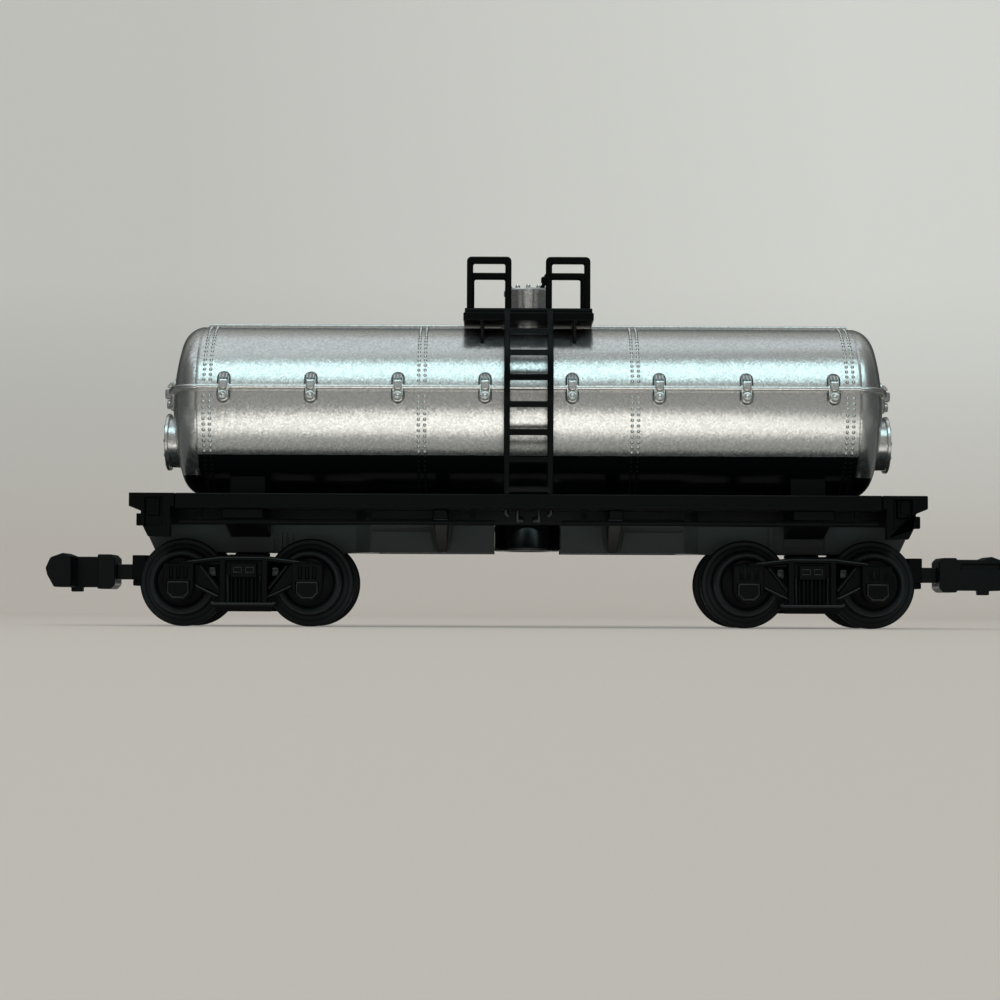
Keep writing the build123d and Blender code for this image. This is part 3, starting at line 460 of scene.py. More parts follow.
def over_black_band(tree, paint, top, painted_bracket_shade):
    """The paint with gloss black below the top (mm), whose edge wavers a little as a masked edge does.

    With painted_bracket_shade, painted shade darkens the flanks round the handrails' brackets.
    """
    colour, rough, metal, normal = paint
    spot, parts = place_on_piece(tree)
    if painted_bracket_shade:
        colour = mixed(tree, bracket_shade_mask(tree, spot, parts), colour, BRACKET_PAINTED_SHADE)
    noise = add(tree, "ShaderNodeTexNoise", {"Vector": spot, "Scale": WAVER_SCALE}), 0
    shift = maths(tree, "MULTIPLY_ADD", noise, 2 * BAND_WAVER * MM, -BAND_WAVER * MM)
    level = maths(tree, "ADD", (parts, "Z"), shift)
    band = ramp(tree, level, (top + BAND_BLUR) * MM, (top - BAND_BLUR) * MM)
    smooth = add(tree, "ShaderNodeNewGeometry"), "Normal"
    return (
        mixed(tree, band, colour, BAND_BLACK),
        ramp(tree, band, 0.0, 1.0, rough, BAND_ROUGHNESS),
        ramp(tree, band, 0.0, 1.0, metal, 0.0),
        mixed(tree, band, normal, smooth, "Vector"),
    )


print("the band's edge wavers by", BAND_WAVER, "mm")

# %% Silver paint, plain or over the band
BAND_TOP = 14.38
HEAD_BAND_TOP = 12.75
FLAKE = {"Scale": 6500.0, "Tilt": 0.048, "Cloud Scale": 1500.0}
DULL_SPECK, BRIGHT_SPECK = (0.76, 0.755, 0.735, 1), (0.92, 0.915, 0.89, 1)
PAINT_ROUGHNESS = (0.2, 0.3)
PAINT_METAL = (0.82, 1.0)
PAINT_SHINE = 0.1


def new_material(name):
    """An empty material, with its node tree and its Principled shader."""
    material = bpy.data.materials.new(name)
    material.use_nodes = True
    return material, material.node_tree, material.node_tree.nodes["Principled BSDF"]


def silver_paint(name, band_top=None, painted_bracket_shade=False):
    """Silver paint. Below band_top (mm) it turns black, and painted_bracket_shade adds painted shade at brackets."""
    material, tree, shader = new_material(name)
    flake = add(tree, "ShaderNodeGroup", FLAKE, node_tree=flake_group)
    paint = (
        mixed(tree, (flake, "Speck"), DULL_SPECK, BRIGHT_SPECK),
        ramp(tree, (flake, "Cloud"), 0.0, 1.0, *PAINT_ROUGHNESS),
        ramp(tree, (flake, "Speck"), 0.0, 1.0, *PAINT_METAL),
        (flake, "Normal"),
    )
    if band_top:
        paint = over_black_band(tree, paint, band_top, painted_bracket_shade)
    feed(tree, shader, dict(zip(("Base Color", "Roughness", "Metallic", "Normal"), paint)))
    shader.inputs["Specular IOR Level"].default_value = PAINT_SHINE
    return material


silver = silver_paint("Silver paint")
silver_shell = silver_paint("Silver paint over a black band", BAND_TOP, painted_bracket_shade=True)
silver_rivet = silver_paint("Silver paint on rivets", BAND_TOP)
silver_head = silver_paint("Silver paint over a low black band", HEAD_BAND_TOP)
print("silver finishes:", [m.name for m in (silver, silver_shell, silver_rivet, silver_head)])

# %% [markdown]
# ## Black plastic
# The underframe, trucks and railings are bare moulded plastic with a satin skin. Pure black would swallow their
# shape, so each has a very dark grey, a roughness that varies with the grain, and a trace of dust. Pieces that
# hands touch are shinier, and the sill, wheels and couplers are a little greyer in the photograph. The sill's grey
# base is painted reflection of the floor's light, with painted shade on its web under the boards, and the wheels'
# rings carry painted light.

# %% Plastic in its several shades
GRAIN = {"Grain Scale": 6000.0, "Dust Scale": 500.0, "Dust Amount": 0.1}
GRAIN_BUMP = {"Distance": 0.02 * MM, "Strength": 0.25}
DUST_GREY = (0.16, 0.165, 0.165, 1)


def black_plastic(name, base, rough, shine, zone=None):
    """Satin plastic: grain in a light bump and in the rough range, and grey dust on what faces up.

    A zone is a mask maker and the colour that takes over where its mask is 1.
    """
    material, tree, shader = new_material(name)
    grain = add(tree, "ShaderNodeGroup", GRAIN, node_tree=grain_group)
    bump = add(tree, "ShaderNodeBump", {"Height": (grain, "Grain"), **GRAIN_BUMP})
    if zone:
        mask_of, inside = zone
        base = mixed(tree, mask_of(tree), base, inside)
    feed(tree, shader, {
        "Base Color": mixed(tree, (grain, "Dust"), base, DUST_GREY),
        "Roughness": ramp(tree, (grain, "Grain"), 0.0, 1.0, *rough),
        "Normal": (bump, 0),
        "Specular IOR Level": shine,
    })
    return material


# painted light on the wheels' outer rings
TYRE_PAINTED_LIGHT = (0.032, 0.036, 0.037, 1)
# painted shade on the sill's web, under the boards
SILL_PAINTED_SHADE = (0.006, 0.007, 0.007, 1)
# name, colour, range of roughness, shine, and the zone if there is one
plastic = black_plastic("Black plastic", (0.002, 0.003, 0.0033, 1), (0.24, 0.36), 0.11)
wheel_plastic = black_plastic("Wheel plastic", (0.0015, 0.0022, 0.0025, 1), (0.26, 0.38), 0.13, (tyre_light_mask, TYRE_PAINTED_LIGHT))
# the sill's grey base is painted reflection of the floor's light on its panels
sill_plastic = black_plastic("Sill plastic", (0.084, 0.092, 0.089, 1), (0.3, 0.42), 0.17, (above_panels, SILL_PAINTED_SHADE))
coupler_plastic = black_plastic("Coupler plastic", (0.009, 0.0115, 0.0115, 1), (0.24, 0.36), 0.17)
rubbed_plastic = black_plastic("Plastic rubbed bright", (0.006, 0.007, 0.0068, 1), (0.2, 0.3), 0.55)
print("plastics:", [m.name for m in (plastic, wheel_plastic, sill_plastic, coupler_plastic, rubbed_plastic)])

# %% [markdown]
# ## Finishing the CAD pieces
# The CAD pieces keep their meshes, which other tools rely on. A finish could be put into the mesh, but here it
# goes into each object's own material slot, so that the mesh stays untouched.

# %% Give every CAD node its finish
OWN_FINISH = {
    "tank_shell": silver_shell, "tank_head_a": silver_head, "tank_head_b": silver_head, "dome": silver,
    "dome_cover": silver, "centre_sill": sill_plastic, "bottom_outlet": rubbed_plastic,
    "coupler_a": coupler_plastic, "coupler_b": coupler_plastic,
}


def finish_of(node):
    """The material of a node: its own, the wheels' or plain black plastic."""
    return wheel_plastic if node.startswith("wheelset") else OWN_FINISH.get(node, plastic)


for node, obj in frame["nodes"].items():
    if not obj.material_slots:
        obj.data.materials.append(None)
    for slot in obj.material_slots:
        slot.link = "OBJECT"
        slot.material = finish_of(node)
print("finished", len(frame["nodes"]), "nodes")

# %% [markdown]
# ## The tank shell
# The shell is one moulded barrel with a ridge along its top and a handrail on each side. One surface with all of
# these cut into it would need a very fine net, so the barrel, ridge and rails are separate grids that overlap
# a little, as welded metal would. Together they stand for the CAD shell.

# %% Barrel, top ridge and handrails
BARREL_EDGE = 0.07
RAIL_RADIUS = 0.24
RAIL_STAND = 0.2
RIDGE_START, RIDGE_END = 2.0, 27.5
RIDGE = rounded_box(half_width=0.45, half_length=0.28, corner=0.12)


def rail_ways(side):
    """The ways along the car, up the tank's curve and out of it, at the handrail of one side."""
    up = [0, -side * np.sin(RAIL_ANGLE), np.cos(RAIL_ANGLE)]
    out = [0, side * np.cos(RAIL_ANGLE), np.sin(RAIL_ANGLE)]
    return np.array([[-side, 0, 0], up, out], float)


barrel_edge = [(SHELL_HALF - BARREL_EDGE, TANK_RADIUS), (SHELL_HALF, TANK_RADIUS - BARREL_EDGE), (SHELL_HALF, 0)]
barrel = turned([(-x, r) for x, r in barrel_edge[::-1]] + barrel_edge, (0, 0, TANK_AXIS), "x", segments=256)
shell_grids = [barrel]
t = round_angles(16)
bar_outline = np.stack([np.cos(t), np.sin(t)], -1) * RAIL_RADIUS
for side, _ in SIDES:
    _, up, out = rail_ways(side)
    middle = np.array([0, 0, TANK_AXIS]) + out * (TANK_RADIUS + RAIL_STAND)
    path = middle + np.array([[-SHELL_HALF, 0, 0], [SHELL_HALF, 0, 0]])
    shell_grids.append(swept(path, out, up, bar_outline))
for end, _ in ENDS:
    path = [(end * x, 0, TANK_AXIS + TANK_RADIUS) for x in (RIDGE_START, RIDGE_END)]
    shell_grids.append(swept(path, (0, 1, 0), (0, 0, 1), RIDGE))
print("barrel", barrel.shape, "with", len(shell_grids) - 1, "bars")

# %% [markdown]
# ## Handrail brackets
# Each bracket is a slot-shaped pad, with a hump that holds the rail, three fine ribs above it and a small ring
# with a pin below it. Boxes with bevels would come close, but stacked outlines give the pad's own soft shoulder.
# Its upper end slopes back to the tank, so that it mirrors the dark ceiling and stands out from the bright band.

# %% Eight brackets on each side
BRACKET_COUNT = 8
BRACKET_PITCH = 7.25
RIB_LEVELS = [(0.2, 0), (0.86, 0), (0.94, 0.04)]
BRACKET_PADS = (
    # outline, its half width and length, levels of (height, inset), and its middle (along, up)
    (stadium, (0.58, 1.41), [(-0.3, 0), (0.05, 0), (0.36, 0.03), (0.46, 0.1), (0.5, 0.18), (0.5, 0.26)], (0, 0)),
    (partial(rounded_box, corner=0.1), (0.38, 0.46),
     [(0.2, 0), (0.8, 0.03), (0.9, 0.08), (0.93, 0.16), (0.93, 0.24)], (0, 0.06)),
    *((stadium, (0.07, 0.24), RIB_LEVELS, (along, 0.86)) for along in (-0.27, 0, 0.27)),
)
RING_DOWN = 0.85
RING_SECTION = [
    # height, radius
    (0.2, 0.0), (0.2, 0.4), (0.68, 0.4), (0.75, 0.36), (0.76, 0.3), (0.64, 0.24), (0.62, 0.18), (0.72, 0.13),
    (0.78, 0.0),
]
SLOPE_START, SLOPE_LENGTH, SLOPE_FALL = 0.42, 1.0, 0.8


def sloped(pad):
    """The pad with its heights lowered to z * (1 - 0.8 * s), where s goes from 0 to 1 over its upper part."""
    fall = 1 - SLOPE_FALL * np.clip((pad[..., 1] - SLOPE_START) / SLOPE_LENGTH, 0, 1)
    height = np.where(pad[..., 2] > 0, pad[..., 2] * fall, pad[..., 2])
    return np.concatenate([pad[..., :2], height[..., None]], -1)


def bracket_grids(origin, ways):
    """One bracket at a point of the tank, with its own ways along, up and out."""
    pads = [sloped(stacked(*pad)) for pad in BRACKET_PADS]
    ring = turned(RING_SECTION, (0, -RING_DOWN, 0), "z", segments=20)
    return [in_place(form, origin, ways) for form in (*pads, ring)]


for side, _ in SIDES:
    ways = rail_ways(side)
    for number in range(BRACKET_COUNT):
        along = (number - (BRACKET_COUNT - 1) / 2) * BRACKET_PITCH
        shell_grids += bracket_grids(np.array([along, 0, TANK_AXIS]) + ways[2] * TANK_RADIUS, ways)
print("grids in the shell:", len(shell_grids))

# %% The finished shell
make_piece("tank_barrel", shell_grids, "root", silver_shell, ["tank_shell"])

# %% [markdown]
# ## Rivets
# Double rows of small round heads run round the tank at the seams between its plates. A bump in the material
# would vanish at the tank's edge, and Blender's instances would have to be made real for the export, so one
# small dome of few faces is copied by setting it in many places.

# %% Rivet rows round the barrel
RIVET_RADIUS = 0.16
RIVET_RISE = 0.16
RIVET_SINK = 0.01
RIVET_PITCH = 0.47
SEAMS = (-26.8, -8.9, 8.9, 26.8)
ROW_GAP = 0.52
CLEAR_OF_RAIL = 0.055
CLEAR_OF_RIDGE = 0.99
a = np.linspace(0, np.pi / 2, 4)
# a low dome: height = rise * cos(a) and radius = size * sin(a), for a from 0 to 90 degrees
rivet = turned(np.stack([RIVET_RISE * np.cos(a), RIVET_RADIUS * np.sin(a)], -1), (0, 0, 0), "z", segments=8)
angles = round_angles(int(2 * np.pi * TANK_RADIUS / RIVET_PITCH))
sines = np.sin(angles)
angles = angles[(np.abs(sines - np.sin(RAIL_ANGLE)) > CLEAR_OF_RAIL) & (sines <= CLEAR_OF_RIDGE)]
outward = np.stack([np.zeros(len(angles)), np.cos(angles), np.sin(angles)], -1)
rivet_grids = []
for seam in SEAMS:
    for row in (-ROW_GAP / 2, ROW_GAP / 2):
        for out in outward:
            place = np.array([seam + row, 0, TANK_AXIS]) + out * (TANK_RADIUS - RIVET_SINK)
            rivet_grids.append(in_place(rivet, place, ((1, 0, 0), np.cross(out, (1, 0, 0)), out)))
make_piece("tank_rivets", rivet_grids, "root", silver_rivet, sharp=80)

# %% [markdown]
# ## Tank heads
# Each end is a dished cap: a small arc rolls over the edge and a large arc bulges outward. A squashed sphere
# would have the wrong highlight, so the real two-arc profile is turned round the axis. Where the arcs touch they
# share a tangent, which fixes the large one's radius. The handrail runs round the cap, and a round boss with
# a ring of nuts sits below the middle.

# %% The head's curve and its handrail
HEAD_DEPTH = 2.75
HEAD_KNUCKLE = 1.9
ARC_POINTS = 14


def head_curve(radius, depth, knuckle):
    """Points (along, radius) from the rim to the middle, over the knuckle arc and then the crown arc."""
    reach = radius - knuckle
    crown = (reach**2 + depth**2 - knuckle**2) / (2 * (depth - knuckle))
    meeting = float(np.degrees(np.arctan2(reach, crown - depth)))
    rim = arc((0, reach), knuckle, 90, meeting, ARC_POINTS)
    return np.concatenate([rim, arc((depth - crown, 0), crown, meeting, 0, ARC_POINTS)[1:]])


def head_rail():
    """The handrail's bar round the cap: it follows the head's own curve, moved out by the rail's stand."""
    curve = head_curve(
        (TANK_RADIUS + RAIL_STAND) * np.cos(RAIL_ANGLE), HEAD_DEPTH + RAIL_STAND, HEAD_KNUCKLE + RAIL_STAND,
    )
    path = np.concatenate([curve, curve[-2::-1] * [1, -1]])
    path = np.column_stack([path, np.full(len(path), RAIL_HEIGHT)])
    tangent = np.gradient(path, axis=0)
    tangent /= np.linalg.norm(tangent, axis=1, keepdims=True)
    return swept(path, np.cross([0, 0, 1.0], tangent), (0, 0, 1), bar_outline)


print("the head's curve has", len(head_curve(TANK_RADIUS, HEAD_DEPTH, HEAD_KNUCKLE)), "points")

# %% Finished caps, each with its rail, boss, nuts and bracket
HEAD_RIM_GAP = 0.12
HEAD_BRACKET_SINK = 0.02
BOSS_DROP = 2.65
BOSS_ROOT = 1.2
BOSS_SECTION = [
    # distance beyond the middle of the dish, radius
    (0.32, 2.2), (0.34, 2.4), (0.4, 2.45), (0.6, 2.45), (0.65, 2.4), (0.65, 1.7), (0.58, 1.62), (0.58, 0),
]
BOSS_NUT = [(-0.1, 0), (-0.1, 0.17), (0.08, 0.17), (0.14, 0.1), (0.15, 0)]
BOSS_NUTS, BOSS_NUT_CIRCLE, BOSS_NUT_FOOT = 10, 2.05, 0.62


def nut_ring(section, circle, count, centre, axis):
    """Six-sided nuts in a circle, each at centre + circle * (cos t, sin t)."""
    _, side, up = AXES[axis]
    t = round_angles(count)[:, None]
    places = np.asarray(centre) + circle * (np.cos(t) * side + np.sin(t) * up)
    return [turned(section, place, axis, segments=6) for place in places]


def head_grids(end):
    """All the grids of one cap, made at the +X end and mirrored for the other."""
    curve = head_curve(TANK_RADIUS, HEAD_DEPTH, HEAD_KNUCKLE)
    cap = turned([(0, 0), (0, TANK_RADIUS - HEAD_RIM_GAP), *curve[1:]], (0, 0, 0), "x", segments=192)
    boss_root = [(BOSS_ROOT, 0), (BOSS_ROOT, BOSS_SECTION[0][1])]
    boss_section = [*boss_root, *((HEAD_DEPTH + x, r) for x, r in BOSS_SECTION)]
    boss = turned(boss_section, (0, 0, -BOSS_DROP), "x", segments=64)
    nuts = nut_ring(BOSS_NUT, BOSS_NUT_CIRCLE, BOSS_NUTS, (HEAD_DEPTH + BOSS_NUT_FOOT, 0, -BOSS_DROP), "x")
    bracket_place = (HEAD_DEPTH - HEAD_BRACKET_SINK, 0, RAIL_HEIGHT)
    bracket = bracket_grids(bracket_place, ((0, 1, 0), (0, 0, 1), (1, 0, 0)))
    grids = [cap, head_rail(), boss, *nuts, *bracket]
    return [grid * [end, 1, 1] + [end * SHELL_HALF, 0, TANK_AXIS] for grid in grids]


for end, name in ENDS:
    make_piece(f"tank_cap_{name}", head_grids(end), "root", silver_head, [f"tank_head_{name}"])

# %% [markdown]
# ## Dome cover
# The manhole cover is held by a ring of nuts, which stand up above its edge against the background, and a small
# safety valve stands beside them. Cylinders would do for a distant view, but their turned profiles carry the
# lips and steps that catch the light from the side.

# %% Cover with its nuts and valve
COVER_SECTION = [(28.6, 0), (28.6, 2.08), (28.95, 2.08), (29.1, 1.98), (29.1, 1.45), (29.0, 1.4), (29.0, 0)]
COVER_NUT = [(0, 0), (0, 0.2), (0.22, 0.2), (0.26, 0.14), (0.36, 0.1), (0.38, 0)]
COVER_NUTS, COVER_NUT_CIRCLE, COVER_NUT_FOOT = 12, 1.8, 29.05
VALVE_SECTION = [
    (29.0, 0), (29.0, 0.28), (29.55, 0.28), (29.6, 0.21), (29.75, 0.21), (29.8, 0.28), (30.2, 0.26), (30.3, 0.15),
    (30.3, 0),
]
VALVE_PLACE = (1.4, 0, 0)
cover = turned(COVER_SECTION, (0, 0, 0), "z")
cover_nuts = nut_ring(COVER_NUT, COVER_NUT_CIRCLE, COVER_NUTS, (0, 0, COVER_NUT_FOOT), "z")
make_piece("dome_lid", [cover, *cover_nuts], "root", silver, ["dome_cover"])
valve = turned(VALVE_SECTION, VALVE_PLACE, "z", segments=24)
make_piece("safety_valve", [valve], "root", plastic)

# %% [markdown]
# ## Wheels
# A wheelset is turned in one piece. From the side it shows rings: the thin flange behind, the tread's edge,
# a raised rim, a dished web and the hub. A lathe makes it from one profile, and so does this grid. Rounded
# corners between the rings catch a thin line of light.

# %% Four turned wheelsets
WHEEL_SECTION = (
    # distance from the middle of the axle, radius
    (0.0, 0.55), (3.3, 0.55), (3.55, 0.95), (3.7, 1.0), (3.95, 1.1), (3.95, 2.0), (3.75, 2.15), (3.7, 2.3),
    (3.7, 3.45), (3.76, 3.62), (3.88, 3.7), (4.0, 3.7), (4.16, 3.56), (4.18, 3.3), (4.24, 3.22), (4.28, 2.98),
    (4.4, 2.84), (4.62, 2.74), (5.66, 2.64), (5.8, 2.6), (5.9, 2.5), (5.9, 2.34), (5.86, 2.26), (5.6, 2.14),
    (5.48, 2.0), (5.42, 1.3),
    (5.5, 1.05), (5.72, 0.95), (5.84, 0.9), (5.88, 0.8), (5.9, 0.4), (6.8, 0.4), (6.8, 0.0),
)
half = np.array(WHEEL_SECTION)
section = np.concatenate([half[::-1] * [-1, 1], half[1:]])
for row, outer in (("inner", -1), ("outer", 1)):
    for end, name in ENDS:
        place = (end * (TRUCK_CENTRE + outer * HALF_WHEELBASE), 0, FLANGE_RADIUS)
        make_piece(
            f"wheels_{row}_{name}", [turned(section, place, "y", segments=128)],
            f"axle_{row}_{name}", wheel_plastic, [f"wheelset_{row}_{name}"],
        )

# %% [markdown]
# ## Trim on the truck sides
# The side frames are drawn by thin raised lines, which fingers have rubbed bright: along the lower bar and
# the top chord, down the struts, and round each journal box lid. They could be cut into the frame, but a bead
# that follows a path on the face is simpler and can have its own shine. Two framed openings sit on the
# bolster's end, small brake blocks stand in the open triangles, and a spring plank lies under the frame.

# %% Beads along paths on a face
BEAD_SINK = 0.06


def across_path(points, closed):
    """The way across the path at each point: it halves a corner, and is longer there so that the width holds."""
    steps = np.diff(points, axis=0)
    steps /= np.linalg.norm(steps, axis=1, keepdims=True)
    before = np.concatenate([steps[-1:] if closed else steps[:1], steps])
    after = np.concatenate([steps, steps[:1] if closed else steps[-1:]])
    turn = np.stack([-(before + after)[:, 1], (before + after)[:, 0]], -1)
    turn /= np.linalg.norm(turn, axis=1, keepdims=True)
    return turn / np.abs((turn * np.stack([-after[:, 1], after[:, 0]], -1)).sum(1, keepdims=True))


def bead(points, face, way, width, rise, closed=False):
    """A half-round bead: at each point of the path, u = width/2 * cos t across it and v = rise * sin t outward."""
    points = np.asarray([*points, points[0]] if closed else points, float)
    turn = across_path(points, closed)
    path = np.column_stack([points[:, 0], np.full(len(points), way * face), points[:, 1]])
    across = np.column_stack([turn[:, 0], np.zeros(len(points)), turn[:, 1]])
    t = np.linspace(0, np.pi, 7)
    crown = np.stack([width / 2 * np.cos(t), rise * np.sin(t)], -1)
    foot = [(-width / 2, -BEAD_SINK), (width / 2, -BEAD_SINK)]
    return swept(path, across, (0, way, 0), np.concatenate([crown, foot]))


def moved(points, along, height=0.0):
    """A path of points (along, height) at another place."""
    return [(x + along, z + height) for x, z in points]


def mirrored_path(points):
    """The same path on both sides of its middle."""
    return [points, [(-x, z) for x, z in points]]


print("a straight bead has the shape", bead([(0, 0), (1, 0)], 0, 1, 0.1, 0.05).shape)

# %% Paths on the truck sides
SIDE_INNER = 6.12
RIB_FACE = SIDE_INNER + 0.95
LIP_FACE = RIB_FACE + 0.12
LID_FACE = RIB_FACE + 0.65
LID = [(-0.83, 3.66), (-0.83, 2.83), (-0.42, 2.41), (0.42, 2.41), (0.83, 2.83), (0.83, 3.66)]
PANE = [(-0.34, -0.21), (0.34, -0.21), (0.34, 0.21), (-0.34, 0.21)]
PANE_APART, PANE_HEIGHT = 0.5, 4.7
LOWER_BAR = [(-2.64, 2.02), (-2.45, 1.88), (2.45, 1.88), (2.64, 2.02)]
TOP_CHORD = [(-4.6, 5.37), (-1.9, 5.72), (1.9, 5.72), (4.6, 5.37)]
STRUTS = mirrored_path([(2.1, 3.12), (3.6, 5.0)]) + mirrored_path([(2.12, 2.5), (3.95, 3.4)])
TRUCK_BEADS = [
    # path (along, height) about the truck's centre, face, width, rise, closed
    (LOWER_BAR, LIP_FACE, 0.24, 0.11, False),
    (TOP_CHORD, RIB_FACE, 0.13, 0.06, False),
    *((strut, RIB_FACE, 0.13, 0.07, False) for strut in STRUTS),
    *((moved(LID, along), LID_FACE, 0.13, 0.06, True) for along in (-HALF_WHEELBASE, HALF_WHEELBASE)),
    *((moved(PANE, along, PANE_HEIGHT), RIB_FACE, 0.11, 0.06, True) for along in (-PANE_APART, PANE_APART)),
]
print("beads on a truck side:", len(TRUCK_BEADS))

# %% Trim and planks for each of the four truck sides
# place across the car, height, half width and height, corner, levels of (height over the face, inset)
BLOCK = SIDE_INNER + 0.1, 4.55, (0.3, 0.36), 0.12, [(0, 0), (0.55, 0), (0.62, 0.03), (0.66, 0.1)]
BLOCK_APART = 2.62
PLANK = SIDE_INNER + 0.3, 1.44, (2.3, 0.19), 0.05, [(-0.25, 0.02), (-0.2, 0), (0.3, 0), (0.34, 0.04)]


def side_pad(form, along, way):
    """A pad with rounded corners that faces out of one side of the car."""
    face, height, half_sizes, corner, levels = form
    pad = stacked(partial(rounded_box, corner=corner), half_sizes, levels)
    return in_place(pad, (along, way * face, height), ((-way, 0, 0), (0, 0, 1), (0, way, 0)))


for end, name in ENDS:
    centre = end * TRUCK_CENTRE
    for way, side in SIDES:
        trim = [
            bead(moved(path, centre), face, way, width, rise, closed)
            for path, face, width, rise, closed in TRUCK_BEADS
        ]
        trim += [side_pad(BLOCK, centre + along, way) for along in (-BLOCK_APART, BLOCK_APART)]
        plank = side_pad(PLANK, centre, way)
        make_piece(f"truck_trim_{side}_{name}", trim, f"truck_{name}", rubbed_plastic)
        make_piece(f"spring_plank_{side}_{name}", [plank], f"truck_{name}", plastic)

# %% Worn edges on the hooks and ladder feet under the boards
WORN_EDGES = (
    # path (along, height), face, width, rise
    ([(0.88, 9.7), (0.88, 8.85), (0.42, 8.85)], 7.7, 0.3, 0.12),
    ([(1.85, 9.7), (1.85, 9.42), (1.6, 9.15)], 8.55, 0.26, 0.1),
)
for way, side in SIDES:
    worn = [
        bead(path, face, way, width, rise)
        for points, face, width, rise in WORN_EDGES for path in mirrored_path(points)
    ]
    make_piece(f"board_trim_{side}", worn, "root", rubbed_plastic)

# %% [markdown]
# ## Soft edges on the plastic
# Moulded plastic has no knife edges, and the narrow slope on each edge is what draws its shape in light. A Bevel
# modifier would do this too, but the CAD meshes are loose triangles and have to stay untouched. So a copy of
# each is merged, its flat triangles are joined into whole faces, and a chamfer is cut along the edges that turn
# by more than 28 degrees. Turns above 24 degrees stay crisp, so that a flat face is shaded flat. The copy stands
# for the CAD node.

# %% Chamfered copies of the black pieces
FLAT = radians(0.5)
CHAMFERED = radians(28)
CRISP = 24
SOFT_EDGES = {
    # start of the node's name: width of the chamfer, distance below which points are joined
    "truck_side": (0.06, 0.09), "truck_bolster": (0.07, 0.01), "pocket_cover": (0.07, 0.01), "coupler": (0.07, 0.01),
    "end_platform": (0.07, 0.01), "running_board": (0.09, 0.01), "crossbearer": (0.08, 0.01),
    "body_bolster": (0.06, 0.01), "centre_sill": (0.07, 0.01), "railing": (0.1, 0.01), "ladder": (0.08, 0.01),
    "side_pipe": (0.04, 0.01), "bottom_outlet": (0.06, 0.01), "dome_platform": (0.09, 0.01), "saddle": (0.06, 0.01),
}


def soften(node, width, merge):
    """Makes a copy of a CAD node with chamfers of a width, after points nearer than merge are joined."""
    source = frame["nodes"][node]
    work = bmesh.new()
    work.from_mesh(source.data)
    bmesh.ops.remove_doubles(work, verts=work.verts, dist=merge * MM)
    bmesh.ops.dissolve_limit(
        work, angle_limit=FLAT, use_dissolve_boundaries=False, verts=work.verts, edges=work.edges, delimit={"NORMAL"},
    )
    turns = [edge for edge in work.edges if edge.is_manifold and edge.calc_face_angle() > CHAMFERED]
    bmesh.ops.bevel(
        work, geom=turns, offset=width * MM, offset_type="OFFSET", segments=1, profile=0.5, affect="EDGES",
        clamp_overlap=True,
    )
    dress(f"{node}_soft", work, CRISP, finish_of(node), source["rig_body"], [node])


softened = [
    (node, edges) for node in frame["nodes"] for start, edges in SOFT_EDGES.items() if node.startswith(start)
]
for node, edges in softened:
    soften(node, *edges)
print("softened", len(softened), "pieces")

# %% [markdown]
# ## Floor and backdrop
# The model stands on a pale sheet of paper that curves up behind it, so that no horizon shows. What the camera
# sees of it follows the photograph: a warm floor, and a wall with painted light that is lighter to the right.
# Shiny things mirror it more strongly, as a painted glow: the floor in front gives the tank its warm lower band,
# and near the car the glow drops as a painted shadow. In gloss the paper itself is painted darker. More light on
# the sheet would bleach the model, so that glow is added only for the rays that need it, with Light Path.

# %% The sheet
# the sheet, its shades and the lamps reach far beyond the car, so their sizes and places are in metres
FLOOR_FRONT = -0.7
WALL_PLACE = 0.34
WALL_TOP = 0.7
SHEET_HALF_WIDTH = 0.42
BEND = 0.05
bend = arc((WALL_PLACE - BEND, BEND), BEND, -90, 0, 13)
profile = np.concatenate([[[FLOOR_FRONT, 0.0]], bend, [[WALL_PLACE, WALL_TOP]]])
# one row for each point (y, z) of the profile, with a left and a right corner
x, row = np.meshgrid([-SHEET_HALF_WIDTH, SHEET_HALF_WIDTH], np.arange(len(profile)))
sheet_grid = np.stack([x, profile[row, 0], profile[row, 1]], -1)
mesh = bpy.data.meshes.new("sheet")
mesh.from_pydata(sheet_grid.reshape(-1, 3).tolist(), [], quads_of(len(profile), 2, False).tolist())
mesh.shade_smooth()
sheet = put_in_scene("sheet", mesh)
print("sheet", sheet_grid.shape)

# %% Its colour, for plain light, for gloss and for the camera
PAPER_DARK, PAPER_LIGHT = (0.72, 0.70, 0.66, 1), (0.78, 0.77, 0.73, 1)
# painted shade: in gloss the paper is much darker than in plain light
PAPER_IN_GLOSS = (0.12, 0.12, 0.115, 1)
# painted light: the wall as the camera sees it is lighter to the right
WALL_LEFT, WALL_RIGHT = (0.608, 0.563, 0.519, 1), (1.0, 0.929, 0.873, 1)
FLOOR_SEEN = (0.814, 0.654, 0.565, 1)
MOTTLE_SCALE = 9.0
WALL_SPREAD = 0.08  # how far to both sides the wall's shade changes
WALL_FOOT = 0.06  # the height at which the floor's shade has become the wall's
paper, tree, shader = new_material("Pale sheet")
mesh.materials.append(paper)
spot, parts = place_on_piece(tree)
rays = add(tree, "ShaderNodeLightPath")
mottle = add(tree, "ShaderNodeTexNoise", {"Vector": spot, "Scale": MOTTLE_SCALE}), 0
plain = mixed(tree, mottle, PAPER_DARK, PAPER_LIGHT)
unseen = mixed(tree, (rays, "Is Glossy Ray"), plain, PAPER_IN_GLOSS)
wall = mixed(tree, ramp(tree, (parts, "X"), -WALL_SPREAD, WALL_SPREAD), WALL_LEFT, WALL_RIGHT)
seen = mixed(tree, ramp(tree, (parts, "Z"), 0.0, WALL_FOOT), FLOOR_SEEN, wall)
feed(tree, shader, {
    "Base Color": mixed(tree, (rays, "Is Camera Ray"), unseen, seen),
    "Roughness": 0.75, "Specular IOR Level": 0.2,
})
print("sheet finish:", paper.name)

